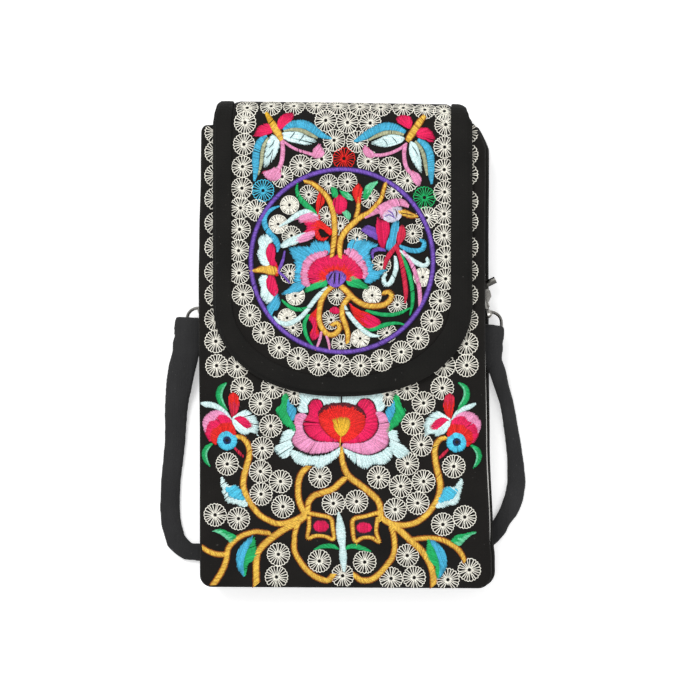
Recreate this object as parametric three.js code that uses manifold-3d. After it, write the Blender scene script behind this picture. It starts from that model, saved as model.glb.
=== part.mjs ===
// A flat canvas phone pouch with a folded-over flap and a cloth shoulder strap, lying on its back.
// Millimetres. X runs across the pouch, Y towards the flap's fold, Z out of the front.
// The origin is on the resting surface, under the flat of the back.
import * as THREE from 'three';
import { mergeVertices } from 'three/addons/utils/BufferGeometryUtils.js';
import Module from 'manifold-3d';

const wasm = await Module();
wasm.setup();

// The pouch
const bodyHalfWidth = 59.8;
const bodyBottom = -101.4;
const bodyTop = 92;
const edgeHeight = 17.6; // top of the front at its side seams
const crown = 3.4; // rise of the front's middle above its side seams
const panelWall = 1.6;
const rimDrop = 2.6; // depth of the front's turned-down edge
const rimRound = 1.8; // how far in that edge starts to turn
const gussetWall = 1.2;
const gussetFold = 13; // deepest inward fold of the side strip
const backingWall = 1;
const backingWidth = 2.4;
const backingPeek = 0.9; // how far the pale backing can stand out of the seam
const strapLift = 3.4; // rise of the back where it lies on the strap
const foldLift = 2; // rise of the back's top end, at the flap's fold
const seamGap = 0.3; // clearance between sewn pieces
const backShift = 0.6; // the back lies a little right of the front

// The flap
const flapWall = 1.4;
const flapRest = 0.35; // clearance between the flap and the front
const flapHalfWidth = 54.15;
const flapShift = -0.65; // the flap sits a little left of the middle
const flapBend = 19; // height on Y where the straight sides turn into the round bottom
const flapDepth = 40.5; // from that height down to the flap's lowest point
const flapRoundness = 2.2;
const foldReach = 8.4; // how far the fold stands out past the mouth
const foldSlope = 0.019; // the fold's line drops to the right
const borderWall = 1;
const borderGap = 0.3;
const borderHalfWidth = 45.65; // half of the opening inside the border
const borderShift = -1.25;
const borderDepth = 32.6; // from flapBend down to the border's inner edge
const borderLip = 1;
const borderRoundness = 2.1;

// The strap
const strapWidth = 10;
const strapThick = 1.9;
const strapClear = 0.15; // the strap's height above the surface that it lies on
const lapLength = 11; // sewn-down length of each folded end
const lapGap = 0.3;
const foldedWidth = 6.4; // width of the strap inside the eye

// The clasps
const wireRadius = 0.75;
const eyeHalfWidth = 4.7;
const eyeDrop = 3.1; // from the eye's middle down to its straight bar
const eyeRise = 5; // from the eye's middle up to its round top
const ballRadius = 2.1; // the ball that joins the eye's wire to its stem
const ballSink = 0.6; // from the wire's top down to the ball's middle
const plateThick = 2.5;
const collarRadius = 1.9;
const collarLength = 2.6;
const boreRadius = 1.15;
const stemRadius = 0.85;
const barWidth = 1.7; // width of the hook's bar, seen flat
const bowlRadius = 2.1;
const bowlReach = 12; // from the hook's base to the middle of its round top
const tipDrop = 1; // from the middle of the hook's round top down to its tip
const pivotAcross = 2.4;
const pivotAlong = 3.3;
const pinRadius = 0.55;
const hubRadius = 1.1;
const runningGap = 0.25;
const leverThick = 1.2;
const knobRadius = 1.5;
const knobReach = 7.2;
const tabWidth = 3.4;
const tabWall = 0.8;
const claspHeight = 7.65; // height of each hook's round top above the surface

// Triangle counts
const bottomSteps = 6;
const cornerSteps = 4;
const flapColumns = 8;
const foldSteps = 12;
const borderSteps = 8; // how many of the fold's steps the border covers
const straightSteps = 6;
const strapSteps = 44;

const bodyLength = bodyTop - bodyBottom;
const bodyMiddle = (bodyTop + bodyBottom) / 2;
const foldStart = bodyTop - 0.2;

// Where the pouch's pieces have their points along the sides, as shares of its length from the bottom
const STATIONS = [
  0.03, 0.08, 0.13, 0.183, 0.2, 0.2245, 0.249, 0.266, 0.32, 0.38, 0.44, 0.5, 0.56, 0.62, 0.7, 0.76, 0.82, 0.88,
  0.92, 0.94, 0.96, 0.98,
];

// The body's side edges, as shares of its half width. Along is a share of its length, from the bottom.
const SIDES = [
  { along: 0, left: 1.016, right: 1.026 },
  { along: 0.06, left: 1.016, right: 1.025 },
  { along: 0.11, left: 1.0165, right: 1.012 },
  { along: 0.31, left: 1.0165, right: 0.988 },
  { along: 0.52, left: 1.0225, right: 0.981 },
  { along: 0.66, left: 1.025, right: 0.98 },
  { along: 0.76, left: 1.0205, right: 0.98 },
  { along: 0.9, left: 1.01, right: 0.983 },
  { along: 1, left: 1.007, right: 0.983 },
];

// The body's corners: how far each cuts in, and its roundness, where 2 is an ellipse and 1 a straight cut
const CORNERS = {
  topLeft: { side: -1, end: 1, across: 2.6, down: 3.2, roundness: 2 },
  bottomLeft: { side: -1, end: 0, across: 5, down: 5, roundness: 2 },
  bottomRight: { side: 1, end: 0, across: 5.6, down: 6.5, roundness: 2 },
  topRight: { side: 1, end: 1, across: 5, down: 10, roundness: 1.15 },
};

// The side strip's inward fold, as shares of gussetFold
const FOLD_DEPTH = [
  { along: 0, left: 0.2, right: 0.2 },
  { along: 0.1, left: 0.22, right: 0.22 },
  { along: 0.3, left: 0.35, right: 0.35 },
  { along: 0.44, left: 0.5, right: 0.6 },
  { along: 0.5, left: 0.7, right: 0.8 },
  { along: 0.56, left: 0.92, right: 0.95 },
  { along: 0.6, left: 1, right: 0.98 },
  { along: 0.84, left: 1, right: 0.98 },
  { along: 0.9, left: 0.7, right: 0.65 },
  { along: 0.94, left: 0.35, right: 0.3 },
  { along: 1, left: 0.2, right: 0.16 },
];

// The side strip's section. Rise is a share of its height, fold of its depth there.
const GUSSET_SECTION = [
  { rise: 0, fold: 0 },
  { rise: 0.12, fold: 0 },
  { rise: 0.18, fold: 0.5 },
  { rise: 0.25, fold: 0.9 },
  { rise: 0.35, fold: 1 },
  { rise: 0.67, fold: 1 },
  { rise: 0.77, fold: 0.9 },
  { rise: 0.83, fold: 0.5 },
  { rise: 0.88, fold: 0 },
  { rise: 1, fold: 0 },
];

// How far the pale backing stands out of the seam, as shares of backingPeek
const PEEK = [
  { along: 0, left: 0, right: 0 },
  { along: 0.05, left: 0, right: 0.35 },
  { along: 0.16, left: 0.4, right: 0.9 },
  { along: 0.24, left: 0.75, right: 1 },
  { along: 0.33, left: 0, right: 0.85 },
  { along: 0.5, left: 0, right: 0.6 },
  { along: 0.57, left: 0, right: 0 },
  { along: 1, left: 0, right: 0 },
];

// The back's rise off the surface: down is a share of strapLift, up of foldLift
const BACK_RISE = [
  { along: 0, down: 1, up: 0 },
  { along: 0.183, down: 1, up: 0 },
  { along: 0.266, down: 0, up: 0 },
  { along: 0.92, down: 0, up: 0 },
  { along: 1, down: 0, up: 1 },
];

// How far the flap's side edges draw in round the fold, as shares of foldReach. Turn goes from front to back.
const FOLD_EDGES = [
  { turn: 0, left: 0, right: 0.02 },
  { turn: 0.13, left: 0.05, right: 0.19 },
  { turn: 0.28, left: 0.12, right: 0.3 },
  { turn: 0.5, left: 0.28, right: 0.72 },
  { turn: 1, left: 0.36, right: 0.85 },
];

// The strap's route. Clear is its distance outside the body's half width, and clear, width, thick and rise are
// shares of the strap's own width, width, thickness and width. It passes under the pouch near the bottom.
const STRAP_ROUTE = [
  { side: -1, along: 0.463, clear: 0.93, width: 1.04, thick: 1, rise: 0.42 },
  { side: -1, along: 0.403, clear: 1.17, width: 0.98, thick: 1, rise: 0.13 },
  { side: -1, along: 0.292, clear: 1.34, width: 0.92, thick: 1, rise: 0 },
  { side: -1, along: 0.207, clear: 1.46, width: 0.9, thick: 1, rise: 0 },
  { side: -1, along: 0.134, clear: 1.44, width: 0.93, thick: 1, rise: 0 },
  { side: -1, along: 0.094, clear: 1.22, width: 0.92, thick: 1, rise: 0 },
  { side: -1, along: 0.075, clear: 0.82, width: 0.84, thick: 1.05, rise: 0 },
  { side: -1, along: 0.07, clear: 0.25, width: 0.74, thick: 1.1, rise: 0 },
  { side: -1, along: 0.06, clear: -1.1, width: 0.95, thick: 1, rise: 0 },
  { side: -1, along: 0.052, clear: -4, width: 0.95, thick: 1, rise: 0 },
  { side: 1, along: 0.052, clear: -5, width: 0.95, thick: 1, rise: 0 },
  { side: 1, along: 0.062, clear: -2.2, width: 0.95, thick: 1, rise: 0 },
  { side: 1, along: 0.09, clear: -0.55, width: 0.9, thick: 1, rise: 0 },
  { side: 1, along: 0.122, clear: 0.42, width: 0.87, thick: 1.05, rise: 0 },
  { side: 1, along: 0.157, clear: 0.82, width: 0.85, thick: 1.05, rise: 0 },
  { side: 1, along: 0.192, clear: 1.07, width: 0.85, thick: 1.05, rise: 0 },
  { side: 1, along: 0.222, clear: 1.17, width: 0.82, thick: 1.1, rise: 0 },
  { side: 1, along: 0.272, clear: 1.13, width: 0.72, thick: 1.15, rise: 0 },
  { side: 1, along: 0.338, clear: 0.95, width: 0.63, thick: 1.25, rise: 0.02 },
  { side: 1, along: 0.397, clear: 0.76, width: 0.61, thick: 1.3, rise: 0.14 },
  { side: 1, along: 0.442, clear: 0.5, width: 0.66, thick: 1.25, rise: 0.4 },
  { side: 1, along: 0.472, clear: 0.34, width: 0.76, thick: 1.15, rise: 0.58 },
];

// The clasps. Clear is how far the strap's fold is outside the body's half width, as a share of the strap's width,
// along its place up the side, and height the eye's middle, as a share of claspHeight. StrapTurn and tilt are
// degrees: the strap's end, the clasp in plan.
// Lap is the strap's width at the sewn lap, as a share of its own, and droop the lap's fall in its thicknesses.
// Aside is how far the strap's end lies beside the eye's middle, and corner its rounding, as shares of its width.
const CLASPS = {
  left: {
    side: -1, clear: 0.312, along: 0.5627, height: 0.94, strapTurn: -6, tilt: -25, lap: 1.06, droop: 0.4,
    aside: 0.27, corner: 0.93,
  },
  right: {
    side: 1, clear: 0.053, along: 0.5537, height: 0.94, strapTurn: -5, tilt: 16, lap: 0.96, droop: 0.4,
    aside: 0.17, corner: 0.8,
  },
};

// The strap's section, as shares of its width and thickness
const STRAP_SECTION = [
  { wide: -0.5, high: 0 },
  { wide: -0.44, high: 0.4 },
  { wide: -0.22, high: 0.5 },
  { wide: 0.22, high: 0.5 },
  { wide: 0.44, high: 0.4 },
  { wide: 0.5, high: 0 },
  { wide: 0.44, high: -0.4 },
  { wide: 0.22, high: -0.5 },
  { wide: -0.22, high: -0.5 },
  { wide: -0.44, high: -0.4 },
];

const canvasBlack = new THREE.MeshStandardMaterial({ name: 'canvas', color: '#2b2b2b', roughness: 0.9 });
const embroideredCloth = new THREE.MeshStandardMaterial({ name: 'embroidered', color: '#2e2b2c', roughness: 0.85 });
const paleBacking = new THREE.MeshStandardMaterial({ name: 'backing', color: '#e8e6e2', roughness: 0.9 });
const strapCloth = new THREE.MeshStandardMaterial({ name: 'strap', color: '#353535', roughness: 0.8 });
const nickel = new THREE.MeshStandardMaterial({ name: 'nickel', color: '#d5d3cf', roughness: 0.2, metalness: 1 });

const bag = new THREE.Group();

function add(name, geometry, material, parent = bag) {
  const mesh = new THREE.Mesh(geometry, material);
  mesh.name = name;
  parent.add(mesh);
}

// The value of one column of a table, eased between its rows
function read(table, key, column, at) {
  const next = table.findIndex((row) => row[key] >= at);
  if (next === 0) return table[0][column];
  if (next < 0) return table[table.length - 1][column];
  const low = table[next - 1];
  const high = table[next];
  return low[column] + (high[column] - low[column]) * THREE.MathUtils.smoothstep(at, low[key], high[key]);
}

function sideName(x) {
  return x < 0 ? 'left' : 'right';
}

function alongAt(y) {
  return (y - bodyBottom) / bodyLength;
}

// A closed geometry from points and triangles, with its faces pointing out
function closedGeometry(points, triangles) {
  let volume = 0;
  for (const [a, b, c] of triangles) {
    volume += points[a].dot(new THREE.Vector3().crossVectors(points[b], points[c]));
  }
  const faces = volume < 0 ? triangles.map(([a, b, c]) => [a, c, b]) : triangles;
  const geometry = new THREE.BufferGeometry().setFromPoints(points);
  geometry.setIndex(faces.flat());
  geometry.computeVertexNormals();
  return geometry;
}

// Rings of equal length, skinned in order. They close on themselves, or end in a fan or a strip at each end.
function skinRings(rings, options = {}) {
  const size = rings[0].length;
  const points = rings.flat();
  const triangles = [];
  const count = options.closed ? rings.length : rings.length - 1;
  for (let i = 0; i < count; i += 1) {
    const here = i * size;
    const there = ((i + 1) % rings.length) * size;
    for (let j = 0; j < size; j += 1) {
      const k = (j + 1) % size;
      triangles.push([here + j, here + k, there + k], [here + j, there + k, there + j]);
    }
  }
  if (options.closed) return closedGeometry(points, triangles);
  const tail = (rings.length - 1) * size;
  if (options.strip) {
    for (let j = 0; j < size / 2 - 1; j += 1) {
      const [a, b, c, d] = [j, j + 1, size - 2 - j, size - 1 - j];
      triangles.push([a, c, b], [a, d, c], [tail + a, tail + b, tail + c], [tail + a, tail + c, tail + d]);
    }
    return closedGeometry(points, triangles);
  }
  const first = options.first ?? middleOf(rings[0]);
  const last = options.last ?? middleOf(rings[rings.length - 1]);
  const start = points.push(first) - 1;
  const end = points.push(last) - 1;
  for (let j = 0; j < size; j += 1) {
    const k = (j + 1) % size;
    triangles.push([start, k, j], [end, tail + j, tail + k]);
  }
  return closedGeometry(points, triangles);
}

function middleOf(ring) {
  const middle = new THREE.Vector3();
  for (const point of ring) middle.addScaledVector(point, 1 / ring.length);
  return middle;
}

// A sheet between two grids of points, rows by columns: each row becomes a ring round the sheet's section
function sheet(upper, lower) {
  return skinRings(upper.map((row, i) => [...row, ...lower[i].toReversed()]), { strip: true });
}

// The grid pushed back along its own normals, which makes the sheet's other face
function offsetGrid(grid, distance) {
  const lastRow = grid.length - 1;
  const lastColumn = grid[0].length - 1;
  return grid.map((row, i) => row.map((point, j) => {
    const along = grid[Math.min(i + 1, lastRow)][j].clone().sub(grid[Math.max(i - 1, 0)][j]);
    const across = row[Math.min(j + 1, lastColumn)].clone().sub(row[Math.max(j - 1, 0)]);
    const normal = along.cross(across).normalize();
    return point.clone().addScaledVector(normal, distance);
  }));
}

function toManifold(geometry) {
  const bare = geometry.clone();
  bare.deleteAttribute('normal');
  bare.deleteAttribute('uv');
  const merged = mergeVertices(bare, 1e-4);
  return new wasm.Manifold(new wasm.Mesh({
    numProp: 3,
    vertProperties: new Float32Array(merged.attributes.position.array),
    triVerts: new Uint32Array(merged.index.array),
  }));
}

function fromManifold(solid) {
  const mesh = solid.getMesh();
  const geometry = new THREE.BufferGeometry();
  geometry.setAttribute('position', new THREE.BufferAttribute(new Float32Array(mesh.vertProperties), 3));
  geometry.setIndex([...mesh.triVerts]);
  geometry.computeVertexNormals();
  return geometry;
}

// The points of one rounded corner, from the body's end edge to its side edge
function cornerPoints(corner) {
  const edge = corner.side * bodyHalfWidth * read(SIDES, 'along', corner.side < 0 ? 'left' : 'right', corner.end);
  const end = corner.end ? bodyTop : bodyBottom;
  const middleX = edge - corner.side * corner.across;
  const middleY = end + (corner.end ? -1 : 1) * corner.down;
  const power = 2 / corner.roundness;
  const points = [];
  for (let i = 0; i <= cornerSteps; i += 1) {
    const angle = (i / cornerSteps) * Math.PI / 2;
    const x = middleX + (edge - middleX) * Math.sin(angle) ** power;
    const y = middleY + (end - middleY) * Math.cos(angle) ** power;
    points.push(new THREE.Vector2(x, y));
  }
  return points;
}

// The points of one side edge, at the stations strictly between two heights
function sidePoints(side, from, to) {
  const heights = STATIONS.map((along) => bodyBottom + along * bodyLength);
  const inside = heights.filter((y) => (y - from) * (y - to) < 0 && Math.min(Math.abs(y - from), Math.abs(y - to)) > 1);
  if (from > to) inside.reverse();
  return inside.map((y) => {
    const share = read(SIDES, 'along', sideName(side), alongAt(y));
    return new THREE.Vector2(side * bodyHalfWidth * share, y);
  });
}

function straightPoints(from, to, steps) {
  const points = [];
  for (let i = 1; i < steps; i += 1) points.push(from.clone().lerp(to, i / steps));
  return points;
}

// The seam's path: down the left side, along the bottom and up the right side
function seamPath() {
  const topLeft = cornerPoints(CORNERS.topLeft);
  const bottomLeft = cornerPoints(CORNERS.bottomLeft).toReversed();
  const bottomRight = cornerPoints(CORNERS.bottomRight);
  const topRight = cornerPoints(CORNERS.topRight).toReversed();
  return [
    ...topLeft,
    ...sidePoints(-1, topLeft.at(-1).y, bottomLeft[0].y),
    ...bottomLeft,
    ...straightPoints(bottomLeft.at(-1), bottomRight[0], bottomSteps),
    ...bottomRight,
    ...sidePoints(1, bottomRight.at(-1).y, topRight[0].y),
    ...topRight,
  ];
}

function bodyOutline() {
  const seam = seamPath();
  return [...seam, ...straightPoints(seam.at(-1), seam[0], bottomSteps)];
}

// A point of the outline moved in by the same distance from every side
function insetPoint(point, inset) {
  const x = point.x * (1 - inset / bodyHalfWidth);
  const y = bodyMiddle + (point.y - bodyMiddle) * (1 - inset / (bodyLength / 2));
  return new THREE.Vector2(x, y);
}

// The height of the front's outer face, before its edge turns down
function frontHeight(x, y) {
  const wide = Math.min(1, Math.abs(x) / bodyHalfWidth);
  const long = Math.min(1, Math.abs(y - bodyMiddle) / (bodyLength / 2));
  const across = 1 - wide ** 2.6;
  const along = y < bodyMiddle ? 1 - long ** 5 : 1 - 0.3 * long ** 5;
  return edgeHeight + crown * across * along;
}

function backHeight(y) {
  const at = alongAt(y);
  return strapLift * read(BACK_RISE, 'along', 'down', at) + foldLift * read(BACK_RISE, 'along', 'up', at);
}

// The front: a crowned shell whose edge turns down to the seam
function frontPanel() {
  const outline = bodyOutline();
  const ring = (inset, drop) => outline.map((point) => {
    const at = insetPoint(point, inset);
    return new THREE.Vector3(at.x, at.y, frontHeight(at.x, at.y) - drop);
  });
  const shrunk = (share, drop) => outline.map((point) => {
    const x = point.x * share;
    const y = bodyMiddle + (point.y - bodyMiddle) * share;
    return new THREE.Vector3(x, y, frontHeight(x, y) - drop);
  });
  const shares = [0.25, 0.55, 0.8, 0.92];
  const rings = [
    ...shares.map((share) => shrunk(share, 0)),
    ring(rimRound, 0),
    ring(rimRound * 0.3, rimRound * 0.25),
    ring(0, rimDrop * 0.55),
    ring(rimRound * 0.15, rimDrop),
    ring(rimRound * 0.15 + panelWall, rimDrop),
    ring(rimRound * 0.3 + panelWall, panelWall + 0.2),
    ...shares.toReversed().map((share) => shrunk(share, panelWall)),
  ];
  const top = frontHeight(0, bodyMiddle);
  return skinRings(rings, {
    first: new THREE.Vector3(0, bodyMiddle, top),
    last: new THREE.Vector3(0, bodyMiddle, top - panelWall),
  });
}

// The back: a flat sheet that rises over the strap and at the flap's fold, cut to the body's outline
function backPanel() {
  const end = foldStart - seamGap;
  const heights = STATIONS.map((along) => bodyBottom + along * bodyLength);
  heights.unshift(bodyBottom - 1);
  heights.push(end);
  const under = heights.map((y) => new THREE.Vector2(y, backHeight(Math.max(y, bodyBottom))));
  const over = under.map((point) => new THREE.Vector2(point.x, point.y + panelWall)).toReversed();
  const slab = new THREE.ExtrudeGeometry(new THREE.Shape([...under, ...over]), {
    depth: bodyHalfWidth * 2.2, bevelEnabled: false,
  });
  const toYZ = new THREE.Matrix4().makeBasis(
    new THREE.Vector3(0, 1, 0), new THREE.Vector3(0, 0, 1), new THREE.Vector3(1, 0, 0),
  );
  slab.applyMatrix4(toYZ).translate(-bodyHalfWidth * 1.1, 0, 0);
  const prism = new THREE.ExtrudeGeometry(new THREE.Shape(bodyOutline()), { depth: edgeHeight, bevelEnabled: false });
  prism.translate(backShift, 0, -1);
  return fromManifold(toManifold(slab).intersect(toManifold(prism)));
}

// The height of the front's lower edge at a point of the seam
function seamHeight(point) {
  return frontHeight(point.x, point.y) - rimDrop;
}

// The side strip: one sheet round three sides, folded inwards along its middle
function gusset() {
  const inset = rimRound * 0.15;
  const grid = seamPath().map((point) => {
    const low = backHeight(point.y) + panelWall + seamGap;
    const high = seamHeight(point) - backingWall - 2 * seamGap;
    const depth = gussetFold * read(FOLD_DEPTH, 'along', sideName(point.x), alongAt(point.y));
    return GUSSET_SECTION.map((row) => {
      const at = insetPoint(point, inset + depth * row.fold);
      const x = at.x + backShift * (1 - row.rise);
      return new THREE.Vector3(x, at.y, THREE.MathUtils.lerp(low, high, row.rise));
    });
  });
  return sheet(grid, offsetGrid(grid, -gussetWall));
}

// The pale backing: a thin strip in the seam, which stands out of it low on the right
function seamBacking() {
  const rows = seamPath().map((point) => {
    const peek = backingPeek * read(PEEK, 'along', sideName(point.x), alongAt(point.y));
    const outer = insetPoint(point, rimRound * 0.3 - peek);
    const inner = insetPoint(point, rimRound * 0.3 - peek + backingWidth);
    const high = seamHeight(point) - seamGap;
    return { outer, inner, high };
  });
  const level = (drop) => rows.map((row) => [
    new THREE.Vector3(row.outer.x, row.outer.y, row.high - drop),
    new THREE.Vector3(row.inner.x, row.inner.y, row.high - drop),
  ]);
  return sheet(level(0), level(backingWall));
}

// The height of the flap's outer face over the front
function flapHeight(x, y) {
  return frontHeight(x, y) + flapRest + flapWall;
}

function foldRadii(x) {
  return {
    out: foldReach - foldSlope * x,
    up: (flapHeight(x, foldStart) - foldLift) / 2,
  };
}

function foldLength() {
  const { out, up } = foldRadii(0);
  return Math.PI * Math.sqrt((out * out + up * up) / 2);
}

// A point of the flap's outer face. Down is its distance down the front from the fold, and behind the fold it is
// negative, as far as the flap's end at the back.
function flapPoint(x, down) {
  if (down >= 0) return new THREE.Vector3(x, foldStart - down, flapHeight(x, foldStart - down));
  const angle = Math.PI * Math.min(1, -down / foldLength());
  const { out, up } = foldRadii(x);
  return new THREE.Vector3(x, foldStart + out * Math.sin(angle), foldLift + up + up * Math.cos(angle));
}

function flapNormal(x, down) {
  const step = 0.2;
  const across = flapPoint(x + step, down).sub(flapPoint(x - step, down));
  const back = flapPoint(x, down - step).sub(flapPoint(x, down + step));
  return across.cross(back).normalize();
}

function liftedFlapPoint(x, down, lift) {
  return flapPoint(x, down).addScaledVector(flapNormal(x, down), lift);
}

// The flap's side edge round the fold and down the straight part
function flapEdge(side, down) {
  const turn = Math.max(0, -down / foldLength());
  const drawn = foldReach * read(FOLD_EDGES, 'turn', side < 0 ? 'left' : 'right', turn);
  return flapShift + side * (flapHalfWidth - drawn);
}

// A point of a round bottom, from its left end at 0 to its right end at 180 degrees
function roundBottom(angle, shift, halfWidth, depth, roundness) {
  const cosine = Math.cos(angle);
  const x = shift - halfWidth * Math.sign(cosine) * Math.abs(cosine) ** (2 / roundness);
  const y = flapBend - depth * Math.abs(Math.sin(angle)) ** (2 / roundness);
  return new THREE.Vector2(x, y);
}

// Rows round the fold, from its steps behind the front, and down the flap's straight part
function flapRows(steps) {
  const rows = [];
  for (let i = steps; i > 0; i -= 1) rows.push(-foldLength() * i / foldSteps);
  for (let i = 0; i < straightSteps; i += 1) rows.push((foldStart - flapBend) * i / straightSteps);
  return rows;
}

// The flap: from the back's top end over the mouth and down the front to its round bottom
function flapPanel() {
  const inset = borderLip + 2 * seamGap;
  const rows = flapRows(foldSteps).map((down) => ({ down }));
  for (let i = 0; i <= 9; i += 1) rows.push({ angle: THREE.MathUtils.degToRad(84 * i / 9) });
  const grid = rows.map((row) => {
    let down = row.down;
    let left = 0;
    let right = 0;
    if (row.angle === undefined) {
      left = flapEdge(-1, down) + inset;
      right = flapEdge(1, down) - inset;
    } else {
      const size = [flapShift, flapHalfWidth - inset, flapDepth - inset, flapRoundness];
      const edge = roundBottom(row.angle, ...size);
      left = edge.x;
      right = 2 * flapShift - edge.x;
      down = foldStart - edge.y;
    }
    const points = [];
    for (let j = 0; j <= flapColumns; j += 1) points.push([THREE.MathUtils.lerp(left, right, j / flapColumns), down]);
    return points;
  });
  const level = (lift) => grid.map((row) => row.map(([x, down]) => liftedFlapPoint(x, down, lift)));
  return sheet(level(0), level(-flapWall));
}

// The border: a band along the flap's edge, laid on it, with a lip that turns down over the edge
function flapBorder() {
  const edges = [];
  const sideRow = (side, down) => ({
    outer: [flapEdge(side, down), down],
    inner: [borderShift + side * borderHalfWidth, down],
  });
  const downs = flapRows(borderSteps);
  for (const down of downs) edges.push(sideRow(-1, down));
  const steps = 20;
  for (let i = 0; i <= steps; i += 1) {
    const angle = Math.PI * i / steps;
    const outer = roundBottom(angle, flapShift, flapHalfWidth, flapDepth, flapRoundness);
    const inner = roundBottom(angle, borderShift, borderHalfWidth, borderDepth, borderRoundness);
    edges.push({ outer: [outer.x, foldStart - outer.y], inner: [inner.x, foldStart - inner.y] });
  }
  for (const down of downs.toReversed()) edges.push(sideRow(1, down));
  const high = borderGap + borderWall;
  const low = -flapWall + 0.1;
  const section = [
    { back: 1, lip: 0, over: high * 0.8, under: borderGap },
    { back: 0.6, lip: 0, over: high, under: borderGap },
    { back: 0, lip: borderLip + 0.06, over: high, under: borderGap },
    { back: 0, lip: borderLip, over: high, under: low },
    { back: 0, lip: 0, over: high * 0.55, under: low * 0.6 },
  ];
  const grid = (side) => edges.map(({ outer, inner }) => section.map((row) => {
    const width = Math.hypot(inner[0] - outer[0], inner[1] - outer[1]);
    const share = row.back + (1 - row.back) * row.lip / width;
    const x = THREE.MathUtils.lerp(outer[0], inner[0], share);
    const down = THREE.MathUtils.lerp(outer[1], inner[1], share);
    return liftedFlapPoint(x, down, row[side]);
  }));
  return sheet(grid('over'), grid('under'));
}

// One clasp's axes: across, along towards the hook's top, and out of its flat face
function claspFrame(clasp) {
  const turn = THREE.MathUtils.degToRad(clasp.strapTurn);
  const tilt = THREE.MathUtils.degToRad(clasp.tilt);
  const height = clasp.height * claspHeight;
  const bar = new THREE.Vector3(
    clasp.side * (bodyHalfWidth + clasp.clear * strapWidth), bodyBottom + clasp.along * bodyLength, height,
  );
  const middle = bar.clone().add(new THREE.Vector3(-Math.sin(turn), Math.cos(turn), 0).multiplyScalar(eyeDrop));
  const slope = Math.asin((claspHeight - height) / (hookBase + bowlReach));
  const across = new THREE.Vector3(Math.cos(tilt), Math.sin(tilt), 0);
  const level = new THREE.Vector3(-Math.sin(tilt), Math.cos(tilt), 0);
  const along = level.multiplyScalar(Math.cos(slope)).setZ(Math.sin(slope));
  const out = across.clone().cross(along);
  return { middle, across, along, out, slope, eyeTurn: turn - tilt };
}

const ballAlong = eyeRise - ballSink;
const collarStart = ballAlong + ballRadius + seamGap;
const hookBase = collarStart + collarLength - 0.4;

// A flat plate of an outline, centred on its own thickness
function plate(shape, thickness) {
  const geometry = new THREE.ExtrudeGeometry(shape, { depth: thickness, bevelEnabled: false, curveSegments: 8 });
  return geometry.translate(0, 0, -thickness / 2);
}

// A round bar along Y
function roundBar(radius, from, to, sides = 12) {
  return new THREE.CylinderGeometry(radius, radius, to - from, sides).translate(0, (from + to) / 2, 0);
}

// The hook: a collar with a blind bore, two cheeks round the lever's hub, and a bar bent round to its tip
function hook() {
  const outer = bowlRadius + barWidth;
  const cheekTop = pivotAlong + hubRadius + 1;
  const throat = cheekTop - 0.7;
  const shape = new THREE.Shape();
  shape.moveTo(-collarRadius, 0);
  shape.lineTo(-outer, 4.4);
  shape.lineTo(-outer, bowlReach);
  shape.absarc(0, bowlReach, outer, Math.PI, 0, true);
  shape.lineTo(outer, bowlReach - tipDrop);
  shape.lineTo(bowlRadius, bowlReach - tipDrop);
  shape.lineTo(bowlRadius, bowlReach);
  shape.absarc(0, bowlReach, bowlRadius, 0, Math.PI, false);
  shape.lineTo(-bowlRadius, cheekTop + 1);
  shape.quadraticCurveTo(-bowlRadius, throat, -0.6, throat);
  shape.lineTo(0.5, cheekTop);
  shape.lineTo(pivotAcross + 1, cheekTop);
  shape.lineTo(pivotAcross + 1.35, pivotAlong + 0.8);
  shape.lineTo(pivotAcross + 1.25, pivotAlong - 1.3);
  shape.lineTo(collarRadius, 0);
  const slotHeight = leverThick + 2 * runningGap;
  const slotLeft = pivotAcross - hubRadius - 0.6;
  const slotWidth = 6;
  const slotLow = pivotAlong - hubRadius - 0.6;
  const slotTop = cheekTop + 1;
  const slot = new THREE.BoxGeometry(slotWidth, slotTop - slotLow, slotHeight);
  slot.translate(slotLeft + slotWidth / 2, (slotTop + slotLow) / 2, 0);
  const pin = new THREE.CylinderGeometry(pinRadius, pinRadius, plateThick - 0.4, 10).rotateX(Math.PI / 2);
  pin.translate(pivotAcross, pivotAlong, 0);
  const collar = roundBar(collarRadius, collarStart - hookBase, 1.2, 14);
  const bore = roundBar(boreRadius, collarStart - hookBase - 1, collarLength - 0.9 + collarStart - hookBase, 10);
  const body = toManifold(plate(shape, plateThick)).subtract(toManifold(slot)).add(toManifold(pin));
  return fromManifold(body.add(toManifold(collar)).subtract(toManifold(bore))).translate(0, hookBase, 0);
}

// The lever: a gate on a hub, closing the hook's mouth, with a round thumb knob
function lever() {
  const right = pivotAcross + hubRadius;
  const top = bowlReach - tipDrop - 2 * runningGap;
  const shape = new THREE.Shape();
  shape.moveTo(pivotAcross - hubRadius, pivotAlong);
  shape.absarc(pivotAcross, pivotAlong, hubRadius, Math.PI, 2 * Math.PI, false);
  shape.lineTo(right, top);
  shape.lineTo(right - 1.4, top);
  shape.lineTo(right - 1.5, pivotAlong + 1.5);
  shape.closePath();
  const hole = new THREE.Path().absarc(pivotAcross, pivotAlong, pinRadius + runningGap, 0, 2 * Math.PI, true);
  shape.holes.push(hole);
  const from = new THREE.Vector3(right - 0.35, pivotAlong + 4.2, 0);
  const to = new THREE.Vector3(knobReach, pivotAlong + 4.9, 0);
  const knob = new THREE.CylinderGeometry(knobRadius, knobRadius, from.distanceTo(to), 10);
  knob.rotateZ(-Math.atan2(to.x - from.x, to.y - from.y));
  knob.translate((from.x + to.x) / 2, (from.y + to.y) / 2, 0);
  return fromManifold(toManifold(plate(shape, leverThick)).add(toManifold(knob))).translate(0, hookBase, 0);
}

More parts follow.
